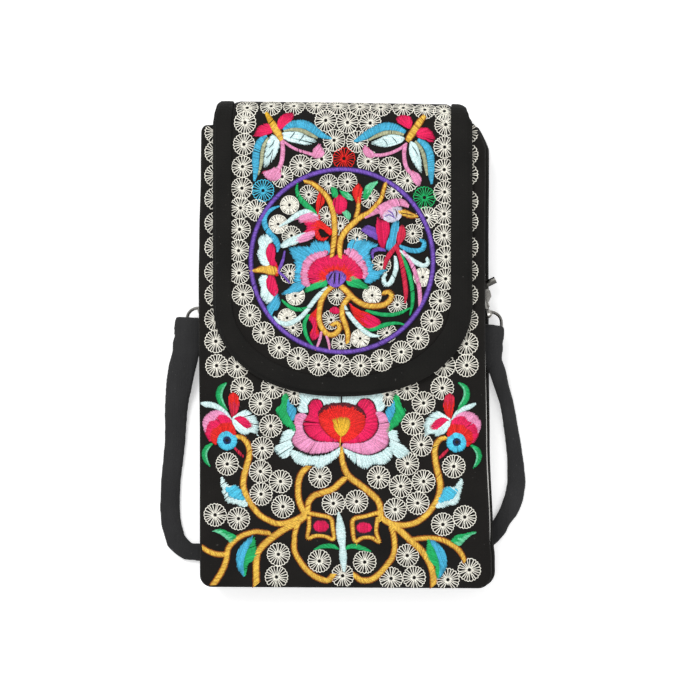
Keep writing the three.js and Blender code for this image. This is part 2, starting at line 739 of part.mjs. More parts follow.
// The turning eye: a wire loop with a straight bar for the strap, a ball, and a stem that stands in the collar
function eye(turn) {
  const half = [[0, -eyeDrop], [0.76, -eyeDrop], [0.95, -0.71 * eyeDrop], [1, -0.2 * eyeDrop]];
  half.push([0.88, 0.5 * eyeRise], [0.53, 0.85 * eyeRise]);
  const mirrored = half.slice(1).toReversed().map(([share, along]) => [-share, along]);
  const points = [...half, [0, eyeRise], ...mirrored].map(([share, along]) => {
    return new THREE.Vector3(share * eyeHalfWidth, along, 0);
  });
  const path = new THREE.CatmullRomCurve3(points, true, 'centripetal');
  const steps = 26;
  const sides = 6;
  const rings = [];
  for (let i = 0; i < steps; i += 1) {
    const centre = path.getPointAt(i / steps);
    const tangent = path.getTangentAt(i / steps);
    const outward = new THREE.Vector3(tangent.y, -tangent.x, 0);
    const ring = [];
    for (let j = 0; j < sides; j += 1) {
      const angle = 2 * Math.PI * (j + 0.5) / sides;
      const point = centre.clone().addScaledVector(outward, wireRadius * Math.cos(angle));
      ring.push(point.setZ(wireRadius * Math.sin(angle)));
    }
    rings.push(ring);
  }
  const loop = skinRings(rings, { closed: true }).rotateZ(turn);
  const stem = roundBar(stemRadius, ballAlong, collarStart + collarLength - 1.2, 10);
  const ball = new THREE.SphereGeometry(ballRadius, 12, 8).translate(0, ballAlong, 0);
  return fromManifold(toManifold(loop).add(toManifold(stem)).add(toManifold(ball)));
}

// The cloth tab: a ribbon passed round the hook's bar and laid double, ending at the side strip's fold. Its
// far end turns back to the height of the hook's top.
function tab(end, endOut) {
  const half = plateThick / 2 + seamGap + 0.05;
  const low = hookBase + bowlReach + Math.sqrt(bowlRadius ** 2 - (tabWidth / 2) ** 2) - 0.35;
  const high = hookBase + bowlReach + bowlRadius + barWidth + seamGap;
  const outerHalf = half + tabWall;
  const neck = high + 2.9;
  const shape = new THREE.Shape([
    new THREE.Vector2(low - tabWall, -outerHalf + 0.9),
    new THREE.Vector2(low - tabWall + 0.9, -outerHalf),
    new THREE.Vector2(high + 0.2, -outerHalf),
    new THREE.Vector2(neck, -tabWall),
    new THREE.Vector2(end, endOut - tabWall),
    new THREE.Vector2(end, endOut + tabWall),
    new THREE.Vector2(neck, tabWall),
    new THREE.Vector2(high + 0.2, outerHalf),
    new THREE.Vector2(low - tabWall + 0.9, outerHalf),
    new THREE.Vector2(low - tabWall, outerHalf - 0.9),
  ]);
  shape.holes.push(new THREE.Path([
    new THREE.Vector2(low, -half),
    new THREE.Vector2(high, -half),
    new THREE.Vector2(high + 1.9, 0),
    new THREE.Vector2(high, half),
    new THREE.Vector2(low, half),
  ]));
  const geometry = plate(shape, tabWidth);
  return geometry.applyMatrix4(new THREE.Matrix4().makeBasis(
    new THREE.Vector3(0, 1, 0), new THREE.Vector3(0, 0, 1), new THREE.Vector3(1, 0, 0),
  ));
}

// Where a tab ends, along its clasp: just short of the side strip's fold
function tabReach(clasp, frame) {
  const seam = bodyHalfWidth * read(SIDES, 'along', sideName(clasp.side), clasp.along);
  const edge = insetPoint(new THREE.Vector2(seam, bodyMiddle), rimRound * 0.15 + gussetFold).x + backShift;
  const reach = Math.abs(frame.middle.x) - (tabWidth / 2) * Math.abs(frame.across.x) - edge - 3 * seamGap;
  return reach / (-clasp.side * frame.along.x);
}

// One folded end of the strap. Turned goes from the cut end under the lap, round the eye's bar, to the top layer's
// lap end, and cover is the top layer's full width, which lies over the narrow fold and a little past the bar.
function foldedEnd(clasp) {
  const frame = claspFrame(clasp);
  const turn = THREE.MathUtils.degToRad(clasp.strapTurn);
  const side = new THREE.Vector3(Math.cos(turn), Math.sin(turn), 0);
  const up = new THREE.Vector3(-Math.sin(turn), Math.cos(turn), 0);
  const tilted = frame.along.clone().applyAxisAngle(frame.out, frame.eyeTurn);
  const bar = frame.middle.clone().addScaledVector(tilted, -eyeDrop);
  const radius = wireRadius + lapGap + strapThick / 2;
  const layer = (strapThick + lapGap) / 2;
  const lap = clasp.lap * strapWidth;
  const station = (along, out, width, beside) => {
    const centre = bar.clone().addScaledVector(up, along);
    centre.addScaledVector(side, clasp.side * clasp.aside * strapWidth * beside);
    centre.z += out - clasp.droop * strapThick * Math.max(0, -along / lapLength);
    return { centre, side, width, thick: strapThick };
  };
  const round = [];
  for (let i = 0; i <= 6; i += 1) {
    const angle = Math.PI * (i / 6 - 0.5);
    round.push(station(radius * Math.cos(angle), radius * Math.sin(angle), foldedWidth, 0));
  }
  const turned = [
    station(-lapLength, -layer, lap * 0.97, 1),
    station(-lapLength * 0.6, -layer, lap * 0.98, 1),
    station(-lapLength * 0.35, -layer * 1.2, lap * 0.92, 0.8),
    station(-lapLength * 0.15, -radius * 0.9, foldedWidth * 1.08, 0.1),
    ...round,
    station(-lapLength * 0.15, radius * 0.9, foldedWidth * 1.08, 0.1),
    station(-lapLength * 0.35, layer * 1.2, lap * 0.94, 0.8),
    station(-lapLength * 0.6, layer, lap, 1),
    station(-lapLength, layer, lap * 0.96, 1),
  ];
  const cover = [
    station(-lapLength * 0.45, layer * 1.05, lap * 0.92, 0.95),
    station(-lapLength * 0.3, radius * 0.8, lap * 0.97, 1),
    station(-lapLength * 0.1, radius, lap, 1),
    station(radius * 0.6, radius, lap * 0.98, 1),
    station(radius * 1.1, radius, lap * (1 + clasp.corner) / 2, 1),
    station(radius * 1.35, radius * 0.97, lap * clasp.corner * 0.97, 1),
  ];
  return { turned, cover };
}

// The strap's open stretch, as stations along a smooth curve between its two folded ends
function strapRun(from, to) {
  const rows = STRAP_ROUTE.map((row) => ({
    centre: new THREE.Vector3(
      row.side * (bodyHalfWidth + row.clear * strapWidth),
      bodyBottom + row.along * bodyLength,
      strapClear + strapThick * row.thick / 2 + row.rise * strapWidth,
    ),
    width: row.width * strapWidth,
    thick: row.thick * strapThick,
  }));
  const all = [from, ...rows, to];
  const path = new THREE.CatmullRomCurve3(all.map((row) => row.centre), false, 'centripetal');
  const stations = [];
  for (let i = 1; i < strapSteps; i += 1) {
    const share = path.getUtoTmapping(i / strapSteps);
    const place = share * (all.length - 1);
    const low = all[Math.floor(place)];
    const high = all[Math.min(Math.floor(place) + 1, all.length - 1)];
    const mix = place - Math.floor(place);
    stations.push({
      centre: path.getPoint(share),
      width: THREE.MathUtils.lerp(low.width, high.width, mix),
      thick: THREE.MathUtils.lerp(low.thick, high.thick, mix),
    });
  }
  return stations;
}

// A flat tube through stations, its section kept level across except where a station names its own side
function flatTube(stations) {
  let side = stations[0].side;
  const rings = stations.map((station, i) => {
    const before = stations[Math.max(i - 1, 0)].centre;
    const after = stations[Math.min(i + 1, stations.length - 1)].centre;
    const tangent = after.clone().sub(before).normalize();
    const wide = station.side ? station.side.clone() : new THREE.Vector3(-tangent.y, tangent.x, 0).normalize();
    if (wide.dot(side) < 0) wide.negate();
    side = wide;
    const high = tangent.cross(wide).normalize();
    return STRAP_SECTION.map((row) => station.centre.clone()
      .addScaledVector(wide, row.wide * station.width)
      .addScaledVector(high, row.high * station.thick));
  });
  return skinRings(rings);
}

// The strap: one long flat tube, turned round the eyes at its two ends
function strap() {
  const left = foldedEnd(CLASPS.left);
  const right = foldedEnd(CLASPS.right);
  const ending = right.turned.toReversed();
  const band = flatTube([...left.turned, ...strapRun(left.turned.at(-1), ending[0]), ...ending]);
  return fromManifold(toManifold(band).add(toManifold(flatTube(left.cover))).add(toManifold(flatTube(right.cover))));
}

add('back_panel', backPanel(), canvasBlack);
add('front_panel', frontPanel(), embroideredCloth);
add('seam_backing', seamBacking(), paleBacking);
add('gusset', gusset(), canvasBlack);
add('flap_panel', flapPanel(), embroideredCloth);
add('flap_border', flapBorder(), canvasBlack);
add('strap', strap(), strapCloth);

for (const [name, clasp] of Object.entries(CLASPS)) {
  const frame = claspFrame(clasp);
  const group = new THREE.Group();
  group.position.copy(frame.middle);
  const axes = new THREE.Matrix4().makeBasis(frame.across, frame.along, frame.out);
  group.quaternion.setFromRotationMatrix(axes);
  bag.add(group);
  add(`hook_${name}`, hook(), nickel, group);
  add(`lever_${name}`, lever(), nickel, group);
  add(`eye_${name}`, eye(frame.eyeTurn), nickel, group);
  const end = tabReach(clasp, frame);
  const endOut = (claspHeight - frame.middle.z - end * Math.sin(frame.slope)) / Math.cos(frame.slope);
  add(`tab_${name}`, tab(end, endOut), canvasBlack, group);
}

export default bag;
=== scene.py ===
import math

import bmesh
import bpy
import numpy as np
from mathutils import Matrix, Vector


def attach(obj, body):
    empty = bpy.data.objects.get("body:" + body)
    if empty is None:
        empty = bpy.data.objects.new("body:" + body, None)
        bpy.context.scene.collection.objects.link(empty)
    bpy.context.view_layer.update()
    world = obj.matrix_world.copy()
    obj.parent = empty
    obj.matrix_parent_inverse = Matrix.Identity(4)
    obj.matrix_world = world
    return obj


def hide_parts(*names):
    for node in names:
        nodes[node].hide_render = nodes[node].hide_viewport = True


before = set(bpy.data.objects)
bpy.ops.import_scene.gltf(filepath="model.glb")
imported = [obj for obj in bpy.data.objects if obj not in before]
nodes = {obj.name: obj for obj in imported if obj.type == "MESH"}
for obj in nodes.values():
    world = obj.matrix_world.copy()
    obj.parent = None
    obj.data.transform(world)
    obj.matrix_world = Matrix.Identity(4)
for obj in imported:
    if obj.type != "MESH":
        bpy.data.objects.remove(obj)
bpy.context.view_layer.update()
rng = np.random.default_rng(7)
MM = 0.001

# The pouch's form, in mm, as the frame has it
HALF, BOTTOM, TOP = 59.8, -101.4, 92.0
EDGE, CROWN, WALL = 17.6, 3.4, 1.6
RIM_DROP, RIM_ROUND = 2.6, 1.8
GUSSET_WALL, GUSSET_FOLD, BACKING, SEAM_GAP = 1.2, 13.0, 1.0, 0.3
STRAP_LIFT, FOLD_LIFT, BACK_SHIFT = 3.4, 2.0, 1.2
FOLD_PUFF = 1.15  # how far the flap's cloth puffs out round the fold, between its borders
FLAP_WALL, FLAP_REST = 1.4, 0.35
FLAP_HALF, FLAP_SHIFT, FLAP_BEND, FLAP_DEPTH, FLAP_ROUND = 54.15, -0.65, 19.0, 40.5, 2.2
FOLD_REACH, FOLD_SLOPE = 8.4, 0.019
BORDER_WALL, BORDER_GAP, BORDER_LIP = 1.0, 0.3, 1.0
BORDER_HALF, BORDER_SHIFT, BORDER_DEPTH, BORDER_ROUND = 45.65, -1.25, 32.6, 2.1
LENGTH = TOP - BOTTOM
MIDDLE = (TOP + BOTTOM) / 2
FOLD_START = TOP - 0.2

# Tables: along is a share of the length from the bottom, then the left and the right value
SIDES = [
    (0, 1.016, 1.026), (0.06, 1.016, 1.025), (0.11, 1.0165, 1.012), (0.31, 1.0165, 0.988),
    (0.52, 1.0225, 0.981),
    (0.66, 1.025, 0.98), (0.76, 1.0205, 0.98), (0.9, 1.01, 0.983), (1, 1.007, 0.983),
]
DEPTHS = [
    (0, 0.2, 0.2), (0.1, 0.22, 0.22), (0.3, 0.35, 0.35), (0.44, 0.5, 0.6), (0.5, 0.7, 0.8),
    (0.56, 0.92, 0.95),
    (0.6, 1, 0.98), (0.84, 1, 0.98), (0.9, 0.7, 0.65), (0.94, 0.35, 0.3), (1, 0.2, 0.16),
]
SECTION = [
    (0, 0), (0.06, 0), (0.12, 0), (0.18, 0.5), (0.25, 0.9), (0.35, 1), (0.5, 1), (0.67, 1), (0.77, 0.9),
    (0.83, 0.5),
    (0.88, 0), (0.94, 0), (1, 0),
]
PEEK = [
    (0, 0, 0), (0.05, 0, 0.35), (0.16, 0.4, 0.9), (0.24, 0.75, 1), (0.33, 0, 0.85), (0.5, 0, 0.6),
    (0.57, 0, 0),
    (1, 0, 0),
]
BACK_RISE = [(0, 1, 0), (0.183, 1, 0), (0.266, 0, 0), (0.92, 0, 0), (1, 0, 1)]
FOLD_EDGES = [(0, 0, 0.02), (0.13, 0.05, 0.19), (0.28, 0.12, 0.3), (0.5, 0.28, 0.72), (1, 0.36, 0.85)]
CORNERS = [(-1, 1, 2.6, 3.2, 2), (-1, 0, 5, 5, 2), (1, 0, 5.6, 6.5, 2), (1, 1, 5, 10, 1.15)]


def read(table, column, at):
    """One column of a table, eased between its rows, for an array of places."""
    at = np.asarray(at, float)
    keys = np.array([r[0] for r in table], float)
    vals = np.array([r[column] for r in table], float)
    i = np.clip(np.searchsorted(keys, at, side="left"), 1, len(keys) - 1)
    t = np.clip((at - keys[i - 1]) / (keys[i] - keys[i - 1]), 0, 1)
    t = t * t * (3 - 2 * t)
    return vals[i - 1] + (vals[i] - vals[i - 1]) * t


def along(y):
    return (np.asarray(y, float) - BOTTOM) / LENGTH


def edge_x(side, y):
    return side * HALF * read(SIDES, 1 if side < 0 else 2, along(y))


def corner(row, steps=9):
    side, end, across, down, power = row
    edge, level = float(edge_x(side, BOTTOM + end * LENGTH)), TOP if end else BOTTOM
    mx, my = edge - side * across, level + (-down if end else down)
    a = np.linspace(0, np.pi / 2, steps + 1)
    x = mx + (edge - mx) * np.sin(a) ** (2 / power)
    y = my + (level - my) * np.cos(a) ** (2 / power)
    return np.stack([x, y], 1)


def line(a, b, step):
    n = max(2, int(np.hypot(*(np.array(b) - a)) / step))
    t = np.arange(1, n)[:, None] / n
    return np.array(a) * (1 - t) + np.array(b) * t


def side_line(side, a, b, step):
    y = np.linspace(a, b, max(2, int(abs(b - a) / step)) + 1)[1:-1]
    return np.stack([edge_x(side, y), y], 1)


def seam_path(step=2.0):
    tl, bl, br, tr = [corner(row) for row in CORNERS]
    bl, tr = bl[::-1], tr[::-1]
    return np.concatenate([
        tl, side_line(-1, tl[-1][1], bl[0][1], step), bl, line(bl[-1], br[0], step),
        br, side_line(1, br[-1][1], tr[0][1], step), tr,
    ])


def outline(step=2.0):
    seam = seam_path(step)
    return np.concatenate([seam, line(seam[-1], seam[0], step)])


def inset(points, distance):
    d = np.asarray(distance, float)
    x = points[..., 0] * (1 - d / HALF)
    y = MIDDLE + (points[..., 1] - MIDDLE) * (1 - d / (LENGTH / 2))
    return np.stack([x, y], -1)


def soft_waves(x, y, size, seed):
    """Smooth unevenness of about one unit, from a few crossed waves."""
    r = np.random.default_rng(seed)
    total = np.zeros(np.broadcast(x, y).shape)
    for k in range(7):
        a, s, p = r.uniform(0, np.pi), size * r.uniform(0.6, 1.6), r.uniform(0, 2 * np.pi)
        total = total + np.sin((x * np.cos(a) + y * np.sin(a)) * 2 * np.pi / s + p) * r.uniform(0.5, 1)
    return total / 4


def front_base(x, y):
    wide = np.minimum(1, np.abs(x) / HALF)
    long = np.minimum(1, np.abs(y - MIDDLE) / (LENGTH / 2))
    rise = np.where(y < MIDDLE, 1 - long**5, 1 - 0.3 * long**5)
    return EDGE + CROWN * (1 - wide**2.6) * rise


def front_height(x, y):
    """The front's face, with the slight unevenness of stitched canvas low down, where it shows."""
    low = np.clip((-y - 18) / 25, 0, 1)
    near = low * np.clip((HALF - np.abs(x)) / 8, 0, 1) * np.clip((y - BOTTOM) / 8, 0, 1)
    return front_base(x, y) + near * 0.22 * soft_waves(x, y, 34, 3) - near * 0.15


def back_height(y):
    a = along(y)
    return STRAP_LIFT * read(BACK_RISE, 1, a) + FOLD_LIFT * read(BACK_RISE, 2, a)


def flap_height(x, y):
    return front_base(x, y) + FLAP_REST + FLAP_WALL


def fold_radii(x):
    return FOLD_REACH - FOLD_SLOPE * x, (flap_height(x, np.full_like(x, FOLD_START)) - FOLD_LIFT) / 2


def fold_length():
    out, up = fold_radii(np.zeros(1))
    return float(np.pi * np.sqrt((out[0] ** 2 + up[0] ** 2) / 2))


FOLD_LENGTH = fold_length()


def puff(x):
    """The fold's puff: whole between the borders, and nothing under them."""
    return FOLD_PUFF * np.clip((BORDER_HALF - 0.3 - np.abs(x - BORDER_SHIFT)) / 1.5, 0, 1)


def flap_point(x, down):
    x, down = np.broadcast_arrays(np.asarray(x, float), np.asarray(down, float))
    out, up = fold_radii(x)
    out = out + puff(x)
    a = np.pi * np.clip(-down / FOLD_LENGTH, 0, 1)
    y = np.where(down >= 0, FOLD_START - down, FOLD_START + out * np.sin(a))
    ripple = np.clip(down / 20, 0, 1) * 0.12 * soft_waves(x, down, 38, 5)
    z = np.where(down >= 0, flap_height(x, FOLD_START - down) + ripple, FOLD_LIFT + up + up * np.cos(a))
    return np.stack([x, y, z], -1)


def normals(point, u, v):
    step = 0.2
    across = point(u + step, v) - point(u - step, v)
    rise = point(u, v - step) - point(u, v + step)
    n = np.cross(across, rise)
    return n / np.linalg.norm(n, axis=-1, keepdims=True)


def flap_lifted(x, down, lift):
    return flap_point(x, down) + normals(flap_point, x, down) * np.asarray(lift, float)[..., None]


def front_point(x, down):
    """The front in the same coordinates as the flap: down from the fold's start."""
    y = FOLD_START - down
    return np.stack([x, y, front_height(x, y)], -1)


def front_lifted(x, down, lift):
    return front_point(x, down) + normals(front_point, x, down) * np.asarray(lift, float)[..., None]


def flap_edge(side, down):
    turn = np.maximum(0, -np.asarray(down, float) / FOLD_LENGTH)
    return FLAP_SHIFT + side * (FLAP_HALF - FOLD_REACH * read(FOLD_EDGES, 1 if side < 0 else 2, turn))


def round_bottom(angle, shift, half, depth, power):
    c = np.cos(angle)
    x = shift - half * np.sign(c) * np.abs(c) ** (2 / power)
    return x, FLAP_BEND - depth * np.abs(np.sin(angle)) ** (2 / power)


# Meshes made of rings and grids of points
def new_mesh(name, verts, faces, smooth=True):
    """A mesh object from mm. Faces is a list, or an array of quads."""
    me = bpy.data.meshes.new(name)
    verts = np.asarray(verts, float).reshape(-1, 3) * MM
    me.from_pydata(verts.tolist(), [], faces.tolist() if isinstance(faces, np.ndarray) else faces)
    me.validate()
    if smooth:
        me.shade_smooth()
    obj = bpy.data.objects.new(name, me)
    bpy.context.scene.collection.objects.link(obj)
    return obj


def grid_faces(rows, columns, closed_columns=False):
    across = np.arange(columns if closed_columns else columns - 1)
    i, j = np.meshgrid(np.arange(rows - 1), across, indexing="ij")
    k = (j + 1) % columns
    this, following = i * columns, (i + 1) * columns
    return np.stack([this + j, this + k, following + k, following + j], -1).reshape(-1, 4)


def outward(obj):
    bm = bmesh.new()
    bm.from_mesh(obj.data)
    bmesh.ops.recalc_face_normals(bm, faces=bm.faces)
    bm.to_mesh(obj.data)
    bm.free()
    return obj


def sheet_mesh(name, upper, lower):
    """A closed sheet between two grids of points, with a rounded edge all round."""
    rows = []
    for u, w in zip(upper, lower):
        rows.append(np.concatenate([u, (u[-1:] + w[-1:]) / 2, w[::-1], (u[:1] + w[:1]) / 2]))
    size = len(rows[0])
    verts = np.concatenate(rows)
    faces = grid_faces(len(rows), size, True).tolist()
    half = len(upper[0])
    for base in (0, (len(rows) - 1) * size):
        ends = list(range(base, base + half))
        back = list(range(base + half + 1, base + 2 * half + 1))[::-1]
        for j in range(half - 1):
            faces.append([ends[j], ends[j + 1], back[j + 1], back[j]])
        faces.append([ends[0], back[0], base + size - 1])
        faces.append([ends[-1], base + half, back[-1]])
    return outward(new_mesh(name, verts, faces))


def shell_mesh(name, rings, first, last):
    size = len(rings[0])
    verts = np.concatenate([*rings, [first], [last]])
    faces = grid_faces(len(rings), size, True).tolist()
    start, tail = len(rings) * size, (len(rings) - 1) * size
    for j in range(size):
        k = (j + 1) % size
        faces.append([start, k, j])
        faces.append([start + 1, tail + j, tail + k])
    return outward(new_mesh(name, verts, faces))


# Materials, each named for what the real one is
def linear(code):
    rgb = [int(code[i : i + 2], 16) / 255 for i in (1, 3, 5)]
    return [*[c / 12.92 if c <= 0.04045 else ((c + 0.055) / 1.055) ** 2.4 for c in rgb], 1]


def node(tree, kind, inputs=None, **settings):
    n = tree.nodes.new(kind)
    for key, value in settings.items():
        setattr(n, key, value)
    for key, value in (inputs or {}).items():
        if isinstance(value, bpy.types.NodeSocket):
            tree.links.new(value, n.inputs[key])
        else:
            n.inputs[key].default_value = value
    return n


def material(name):
    m = bpy.data.materials.new(name)
    m.use_nodes = True
    tree = m.node_tree
    return m, tree, tree.nodes["Principled BSDF"]


def grains(mm):
    """The scale of a noise whose grains are this wide."""
    return 1 / (mm * MM)


def canvas(name, low, high, yarn, rough=0.9, weave=0.3, lint=0.5, sheen=0.25, lanes=0.0):
    """Plain woven cotton, which looks matt, slightly grainy and a little uneven. Yarn is the mm between
    neighbouring yarns, as on the real cloth, and about a pixel in the render. The dye took in patches 18 mm
    wide. Fibres stand up 0.4 mm apart, and lint lies in specks 1.1 mm wide, both coarser than the real ones
    so that some of them show. Lanes are soft creases 4 mm wide that run along Y."""
    m, tree, shader = material(name)
    at = node(tree, "ShaderNodeTexCoord").outputs["Object"]
    # A wave's period is two yarns, one over and one under
    wave = {
        "Vector": at, "Scale": math.tau / (40 * yarn * MM),
        "Distortion": 1.2, "Detail": 2, "Detail Scale": 2.5,
    }
    warp, weft = [node(tree, "ShaderNodeTexWave", wave, bands_direction=d).outputs["Fac"] for d in ("X", "Y")]
    woven = node(tree, "ShaderNodeMath", {0: warp, 1: weft}, operation="MULTIPLY").outputs[0]
    fibre, patch, specks = [
        node(tree, "ShaderNodeTexNoise", {"Vector": at, "Scale": grains(mm), "Detail": detail}).outputs["Fac"]
        for mm, detail in ((0.3846, 4), (18.18, 3), (1.111, 2))
    ]
    tone = node(tree, "ShaderNodeMix", {0: 0.45, 2: patch, 3: fibre}).outputs[0]
    dyed = node(tree, "ShaderNodeMapRange", {0: tone, 1: 0.3, 2: 0.7}).outputs[0]
    dyes = {0: dyed, 6: linear(low), 7: linear(high)}
    cloth = node(tree, "ShaderNodeMix", dyes, data_type="RGBA").outputs[2]
    caught = node(tree, "ShaderNodeMapRange", {0: specks, 1: 0.72, 2: 0.8, 4: lint}).outputs[0]
    over = {0: caught, 6: cloth, 7: linear("#8d8a86")}
    linty = node(tree, "ShaderNodeMix", over, data_type="RGBA").outputs[2]
    tree.links.new(linty, shader.inputs["Base Color"])
    shader.inputs["Roughness"].default_value = rough
    shader.inputs["Specular IOR Level"].default_value = 0.14
    shader.inputs["Sheen Weight"].default_value = sheen
    shader.inputs["Sheen Roughness"].default_value = 0.5
    height = node(tree, "ShaderNodeMath", {0: fibre, 1: 0.7, 2: woven}, operation="MULTIPLY_ADD").outputs[0]
    bump = node(tree, "ShaderNodeBump", {"Height": height, "Strength": weave, "Distance": 0.0003})
    if lanes:
        long = node(tree, "ShaderNodeMapping", {"Vector": at, "Scale": (1, 0.09, 1)}).outputs[0]
        noise = {"Vector": long, "Scale": grains(4.167), "Detail": 2}
        crease = node(tree, "ShaderNodeTexNoise", noise).outputs["Fac"]
        soft = node(tree, "ShaderNodeBump", {"Height": crease, "Strength": lanes, "Distance": 0.0016})
        tree.links.new(soft.outputs[0], bump.inputs["Normal"])
    tree.links.new(bump.outputs[0], shader.inputs["Normal"])
    return m


def thread(name, code, rough=0.5, spread=0.2, painted_groove_darkness=0.16):
    """Shiny twisted embroidery thread, sewn by machine. Each stitch has its own lightness, and the grooves
    between stitches are darkened with painted shade. Flecks 0.5 mm wide stand for the glints of the twist,
    coarser than the real ones, which are too fine to show, and strands 0.2 mm wide roughen it."""
    m, tree, shader = material(name)
    tone = node(tree, "ShaderNodeAttribute", attribute_name="tone").outputs["Fac"]
    # Painted shade: in the grooves between stitches the thread's colour is darkened
    painted_groove_shade = node(tree, "ShaderNodeAttribute", attribute_name="painted_groove_shade").outputs["Fac"]
    base = linear(code)[:3]
    shade = [*[c * painted_groove_darkness for c in base], 1]
    dark = [*[c * (1 - spread * 1.6) for c in base], 1]
    light = [*[min(1, c * (1 + spread) + 0.012) for c in base], 1]
    stitch = node(tree, "ShaderNodeMix", {0: tone, 6: dark, 7: light}, data_type="RGBA").outputs[2]
    sewn = node(tree, "ShaderNodeMix", {0: painted_groove_shade, 6: shade, 7: stitch}, data_type="RGBA").outputs[2]
    at = node(tree, "ShaderNodeTexCoord").outputs["Object"]
    noise = {"Vector": at, "Scale": grains(0.4762), "Detail": 3}
    fleck = node(tree, "ShaderNodeTexNoise", noise).outputs["Fac"]
    glint = node(tree, "ShaderNodeMapRange", {0: fleck, 1: 0.36, 2: 0.6, 3: 0.84, 4: 1.3}).outputs[0]
    shaded = node(tree, "ShaderNodeHueSaturation", {"Color": sewn, "Value": glint})
    tree.links.new(shaded.outputs[0], shader.inputs["Base Color"])
    shader.inputs["Roughness"].default_value = rough
    shader.inputs["Specular IOR Level"].default_value = 0.22
    noise = {"Vector": at, "Scale": grains(0.1923), "Detail": 2}
    strands = node(tree, "ShaderNodeTexNoise", noise).outputs["Fac"]
    bump = node(tree, "ShaderNodeBump", {"Height": strands, "Strength": 0.25, "Distance": 0.0001})
    tree.links.new(bump.outputs[0], shader.inputs["Normal"])
    return m


def plated(name, bright, dull):
    """Nickel plate over cast zinc: bright on the whole, worn duller and rougher in patches 2.4 mm wide, with
    the casting's faint unevenness, 1.1 mm wide, under it."""
    m, tree, shader = material(name)
    at = node(tree, "ShaderNodeTexCoord").outputs["Object"]
    noise = {"Vector": at, "Scale": grains(2.381), "Detail": 4}
    wear = node(tree, "ShaderNodeTexNoise", noise).outputs["Fac"]
    worn = node(tree, "ShaderNodeMapRange", {0: wear, 1: 0.35, 2: 0.75}).outputs[0]
    tones = {0: worn, 6: linear(bright), 7: linear(dull)}
    colour = node(tree, "ShaderNodeMix", tones, data_type="RGBA").outputs[2]
    rough = node(tree, "ShaderNodeMapRange", {0: wear, 1: 0.3, 2: 0.8, 3: 0.14, 4: 0.34}).outputs[0]
    tree.links.new(colour, shader.inputs["Base Color"])
    tree.links.new(rough, shader.inputs["Roughness"])
    shader.inputs["Metallic"].default_value = 1
    noise = {"Vector": at, "Scale": grains(1.111), "Detail": 3}
    cast = node(tree, "ShaderNodeTexNoise", noise).outputs["Fac"]
    bump = node(tree, "ShaderNodeBump", {"Height": cast, "Strength": 0.12, "Distance": 0.0002})
    tree.links.new(bump.outputs[0], shader.inputs["Normal"])
    return m


# The canvas of the sides, back, border and tabs is near black, and its weave shows only close up
CANVAS = canvas("black cotton canvas", "#131312", "#21201e", 0.55, sheen=0.03, lint=0.25)
# The ground under the embroidery is the same canvas in finer yarns
GROUND = canvas("black ground cloth", "#131211", "#211f1d", 0.42, lint=0.25, sheen=0.03)
# The strap is dark grey cotton, a little shiny from use, with long soft creases
STRAP = canvas(
    "black strap cloth", "#232324", "#333334", 0.4, rough=0.8, weave=0.2, lint=0.3, sheen=0.2, lanes=0.6,
)
# The backing cloth is near white and clean
PALE = canvas("pale backing cloth", "#d9d6d0", "#f2f0ec", 0.4, weave=0.2, lint=0.0)
# The seam's edge is dark grey cloth with much lint, lighter than the canvas: a painted highlight, the glint
# along the seam
SEAM_GLINT = canvas("seam cloth with painted glint", "#2b2a28", "#4a4844", 0.4, weave=0.2, lint=0.6)
# The hooks and eyes are bright nickel, and the levers are the same nickel painted darker: painted shade for
# the dark reflection they show
NICKEL = plated("bright nickel plate", "#b4b2ad", "#827f7a")
SHADED_NICKEL = plated("nickel plate painted dark as shade", "#4a4946", "#343331")
# The thread's colours are strong and shiny. Pale ones are given lighter painted shade in their grooves, as
# light passes through them.
THREADS = {
    "cream": thread("cream thread", "#f7f2e5", 0.6, 0.1, 0.46),
    "magenta": thread("hot pink thread", "#f5085a"),
    "red": thread("red thread", "#f01a12"),
    "wine": thread("wine thread", "#5c0a1c"),
    "pink": thread("pink thread", "#ff9cc8", 0.5, 0.2, 0.28),
    "cyan": thread("pale blue thread", "#dcffff", 0.5, 0.16, 0.42),
    "sky": thread("sky blue thread", "#4abce4"),
    "azure": thread("azure thread", "#50cbf0", 0.5, 0.2, 0.34),
    "blue": thread("navy thread", "#0c2f63"),
    "green": thread("green thread", "#14ba68"),
    "mint": thread("mint thread", "#6fdca6"),
    "gold": thread("gold thread", "#ffc04a", 0.5, 0.26, 0.4),
    # Amber lies under the gold as a wider band: its dark edge along the gold is painted shade
    "amber": thread("dark orange thread", "#b86412"),
    "yellow": thread("yellow thread", "#f5b92a"),
    "sage": thread("sage thread", "#bcc09a"),
    "purple": thread("purple thread", "#8159c8"),
    # Dark violet lies under the purple ring as a wider band: its dark edges are painted shade at the round
    # ring's sides
    "violet": thread("dark violet thread", "#3f2878"),
    "lilac": thread("lilac thread", "#a98be0"),
    "crimson": thread("crimson thread", "#dc1f46"),
    "ink": thread("black thread", "#16090d"),
    "teal": thread("dark teal thread", "#0a4a56"),
    "lavender": thread("lavender thread", "#d9d4e6", 0.5, 0.2, 0.4),
}
THREAD_NAMES = list(THREADS)

# The embroidery is charted in units of 0.41667 mm. A point of the chart is x to the right and y downwards.
UNIT, CHART_X, CHART_Y = 120 / 288, 344.5, 344.75
SPACING = 0.33  # mm between neighbouring satin stitches
STEPS = np.array([0, 0.13, 0.5, 0.87, 1])
ARCH = np.array([0.1, 0.8, 1, 0.8, 0.1])
TAPER = np.array([0.6, 0.95, 1, 0.95, 0.6])
